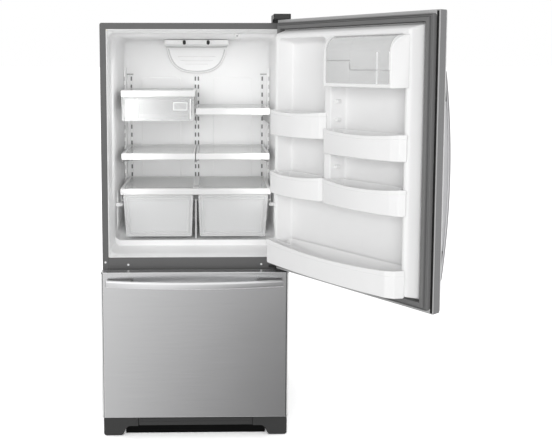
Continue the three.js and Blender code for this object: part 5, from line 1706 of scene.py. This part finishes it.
# %% Insulation
FOAM = plastic("insulation_foam", "foam", (0.78, 0.7, 0.42), gloss=0.9, drift=0.2, grain=220.0,
               relief=0.9)
insulation = frame["nodes"]["insulation_foam"]
insulation.data.materials.clear()
insulation.data.materials.append(FOAM)

# %% [markdown]
# ## Room, light and floor
#
# A white studio. The background is white because the camera sees it so, and metal and glass see
# that white too. One unlit corner, low in front on the right, gives the steel fronts their
# shading, from light at the upper left to dark at the lower right, and darker sides in what
# shiny faces reflect keep the edges of the doors from burning out. A dark board beside a real
# appliance does the same, but here it costs no object that other views would show.

# %% The room
UNLIT_CORNER = Vector((0.45, -0.75, -0.56))
CORNER_SPAN = (0.73, 0.96, 0.12)         # where it starts and ends, and how dim it gets
SIDES = ((-0.3, -0.75, 0.2), (0.42, 0.9, 0.34))      # the same, by the X of a direction
ROOM_LIGHT = 0.53


def fading(tree, value, start, end, least):
    """1 until a value reaches its start, then smoothly down to the least at its end."""
    return add_node(tree, "ShaderNodeMapRange", interpolation_type="SMOOTHSTEP", Value=value,
                    From_Min=start, From_Max=end, To_Min=1.0, To_Max=least).outputs["Result"]


world = bpy.data.worlds.new("room")
bpy.context.scene.world = world
world.use_nodes = True
tree = world.node_tree
tree.nodes.clear()
direction = add_node(tree, "ShaderNodeTexCoord").outputs["Generated"]
towards = add_node(tree, "ShaderNodeVectorMath", operation="DOT_PRODUCT", Vector=direction)
towards.inputs[1].default_value = UNLIT_CORNER.normalized()
corner = reflected = fading(tree, towards.outputs["Value"], *CORNER_SPAN)
across = add_node(tree, "ShaderNodeSeparateXYZ", Vector=direction).outputs["X"]
for span in SIDES:
    reflected = reckon(tree, "MULTIPLY", reflected, fading(tree, across, *span))
path = add_node(tree, "ShaderNodeLightPath").outputs
dimmed = reckon(tree, "MULTIPLY", path["Is Glossy Ray"], reckon(tree, "SUBTRACT", 1.0, reflected))
white = (1, 1, 1, 1)
seen_room = add_node(tree, "ShaderNodeBackground", Color=white,
                     Strength=reckon(tree, "SUBTRACT", 1.0, dimmed))
lighting_room = add_node(tree, "ShaderNodeBackground", Color=white,
                         Strength=reckon(tree, "MULTIPLY", corner, ROOM_LIGHT))
seen = path["Is Camera Ray"]
for ray in ("Is Glossy Ray", "Is Transmission Ray"):
    seen = reckon(tree, "MAXIMUM", seen, path[ray])
choice = add_node(tree, "ShaderNodeMixShader")
for socket, source in zip(choice.inputs, (seen, lighting_room.outputs[0], seen_room.outputs[0])):
    tree.links.new(source, socket)
add_node(tree, "ShaderNodeOutputWorld", Surface=choice.outputs[0])
print("world nodes:", len(tree.nodes))

# %% [markdown]
# Two soft lamps stand in front, as in a studio. The lamp under the ceiling stands in for the
# appliance's own. Two strips beside the shelves and two beside the crispers stand in for the
# light that the white walls of a real compartment pass on to each other. Lamps that would show
# as streaks in the steel are kept out of what shiny faces reflect.

# %% Lamps
LAMPS = [        # name, place, aim, width, height, watts, rays that don't see it
    ("window", (-3.6, -5.6, 2.6), (0, 0, 1.0), 3.6, 3.6, 55, ()),
    ("front", (-0.1, -7.0, 2.0), (0, 0, 1.1), 3.2, 3.2, 165, ("glossy",)),
    ("inside_lamp", (0, 0.2, 1.6), (0, 0.3, 1.0), 0.55, 0.55, 0.3, ())]
for side in (-1, 1):
    LAMPS += [("side_strip", (side * 0.29, 0.06, 1.27), (0, 0.6, 1.25), 0.04, 0.56, 0.5,
               ("glossy",)),
              ("low_fill", (side * 0.329, 0.235, 0.89), (side * 0.329, 0.6, 0.87), 0.02, 0.15,
               0.03, ("glossy", "camera"))]
for name, position, aim, width, height, watts, hidden_from in LAMPS:
    light = bpy.data.lights.new(name, "AREA")
    light.shape = "RECTANGLE"
    light.size, light.size_y, light.energy = width, height, watts
    lamp = bpy.data.objects.new(name, light)
    lamp.location = ORIGIN + Vector(position)
    lamp.rotation_euler = (Vector(aim) - Vector(position)).to_track_quat("-Z", "Y").to_euler()
    for ray in hidden_from:
        setattr(lamp, "visible_" + ray, False)
    bpy.context.scene.collection.objects.link(lamp)
print("lamps:", [lamp.name for lamp in bpy.data.lights])

# %% [markdown]
# The floor is a plain pale sheet that keeps the object's shadow. Where it is lit, the camera sees
# it as white as the background, so no horizon shows. It only looks lighter: the light that it
# sends back onto the object is that of its own pale colour.

# %% The floor
FLOOR_LIFT = 1.6
FLOOR_TONE = 0.9
FLOOR_REACH = 900.0
body = bmesh.new()
body.faces.new(add_ring(body, [Vector((*corner, 0)) for corner in rectangle(
    -FLOOR_REACH, FLOOR_REACH, -FLOOR_REACH, FLOOR_REACH)]))
mesh = bpy.data.meshes.new("floor")
body.to_mesh(mesh)
body.free()
material = bpy.data.materials.new("pale_floor")
material.use_nodes = True
tree = material.node_tree
tree.nodes.clear()
path = add_node(tree, "ShaderNodeLightPath").outputs
tone = reckon(tree, "ADD", reckon(tree, "MULTIPLY", path["Is Camera Ray"], FLOOR_LIFT), FLOOR_TONE)
colour = add_node(tree, "ShaderNodeCombineXYZ", X=tone, Y=tone, Z=tone)
paint = add_node(tree, "ShaderNodeBsdfDiffuse", Color=colour.outputs[0])
add_node(tree, "ShaderNodeOutputMaterial", Surface=paint.outputs[0])
mesh.materials.append(material)
floor = bpy.data.objects.new("floor", mesh)
bpy.context.scene.collection.objects.link(floor)
floor.visible_glossy = False
floor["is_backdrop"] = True
bpy.context.scene.view_settings.view_transform = "Standard"
print("floor", [round(size) for size in floor.dimensions])

# %% [markdown]
# ## Size
#
# The dressed model's box is printed against the imported one's, as the difference at its lowest
# and highest corner. The dressed model may not outgrow the imported one.

# %% Sizes at the end
visual_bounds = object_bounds()
for corner, (cad, visual) in enumerate(zip(cad_bounds, visual_bounds)):
    print(("lowest", "highest")[corner], [round(b - a, 4) for a, b in zip(cad, visual)])
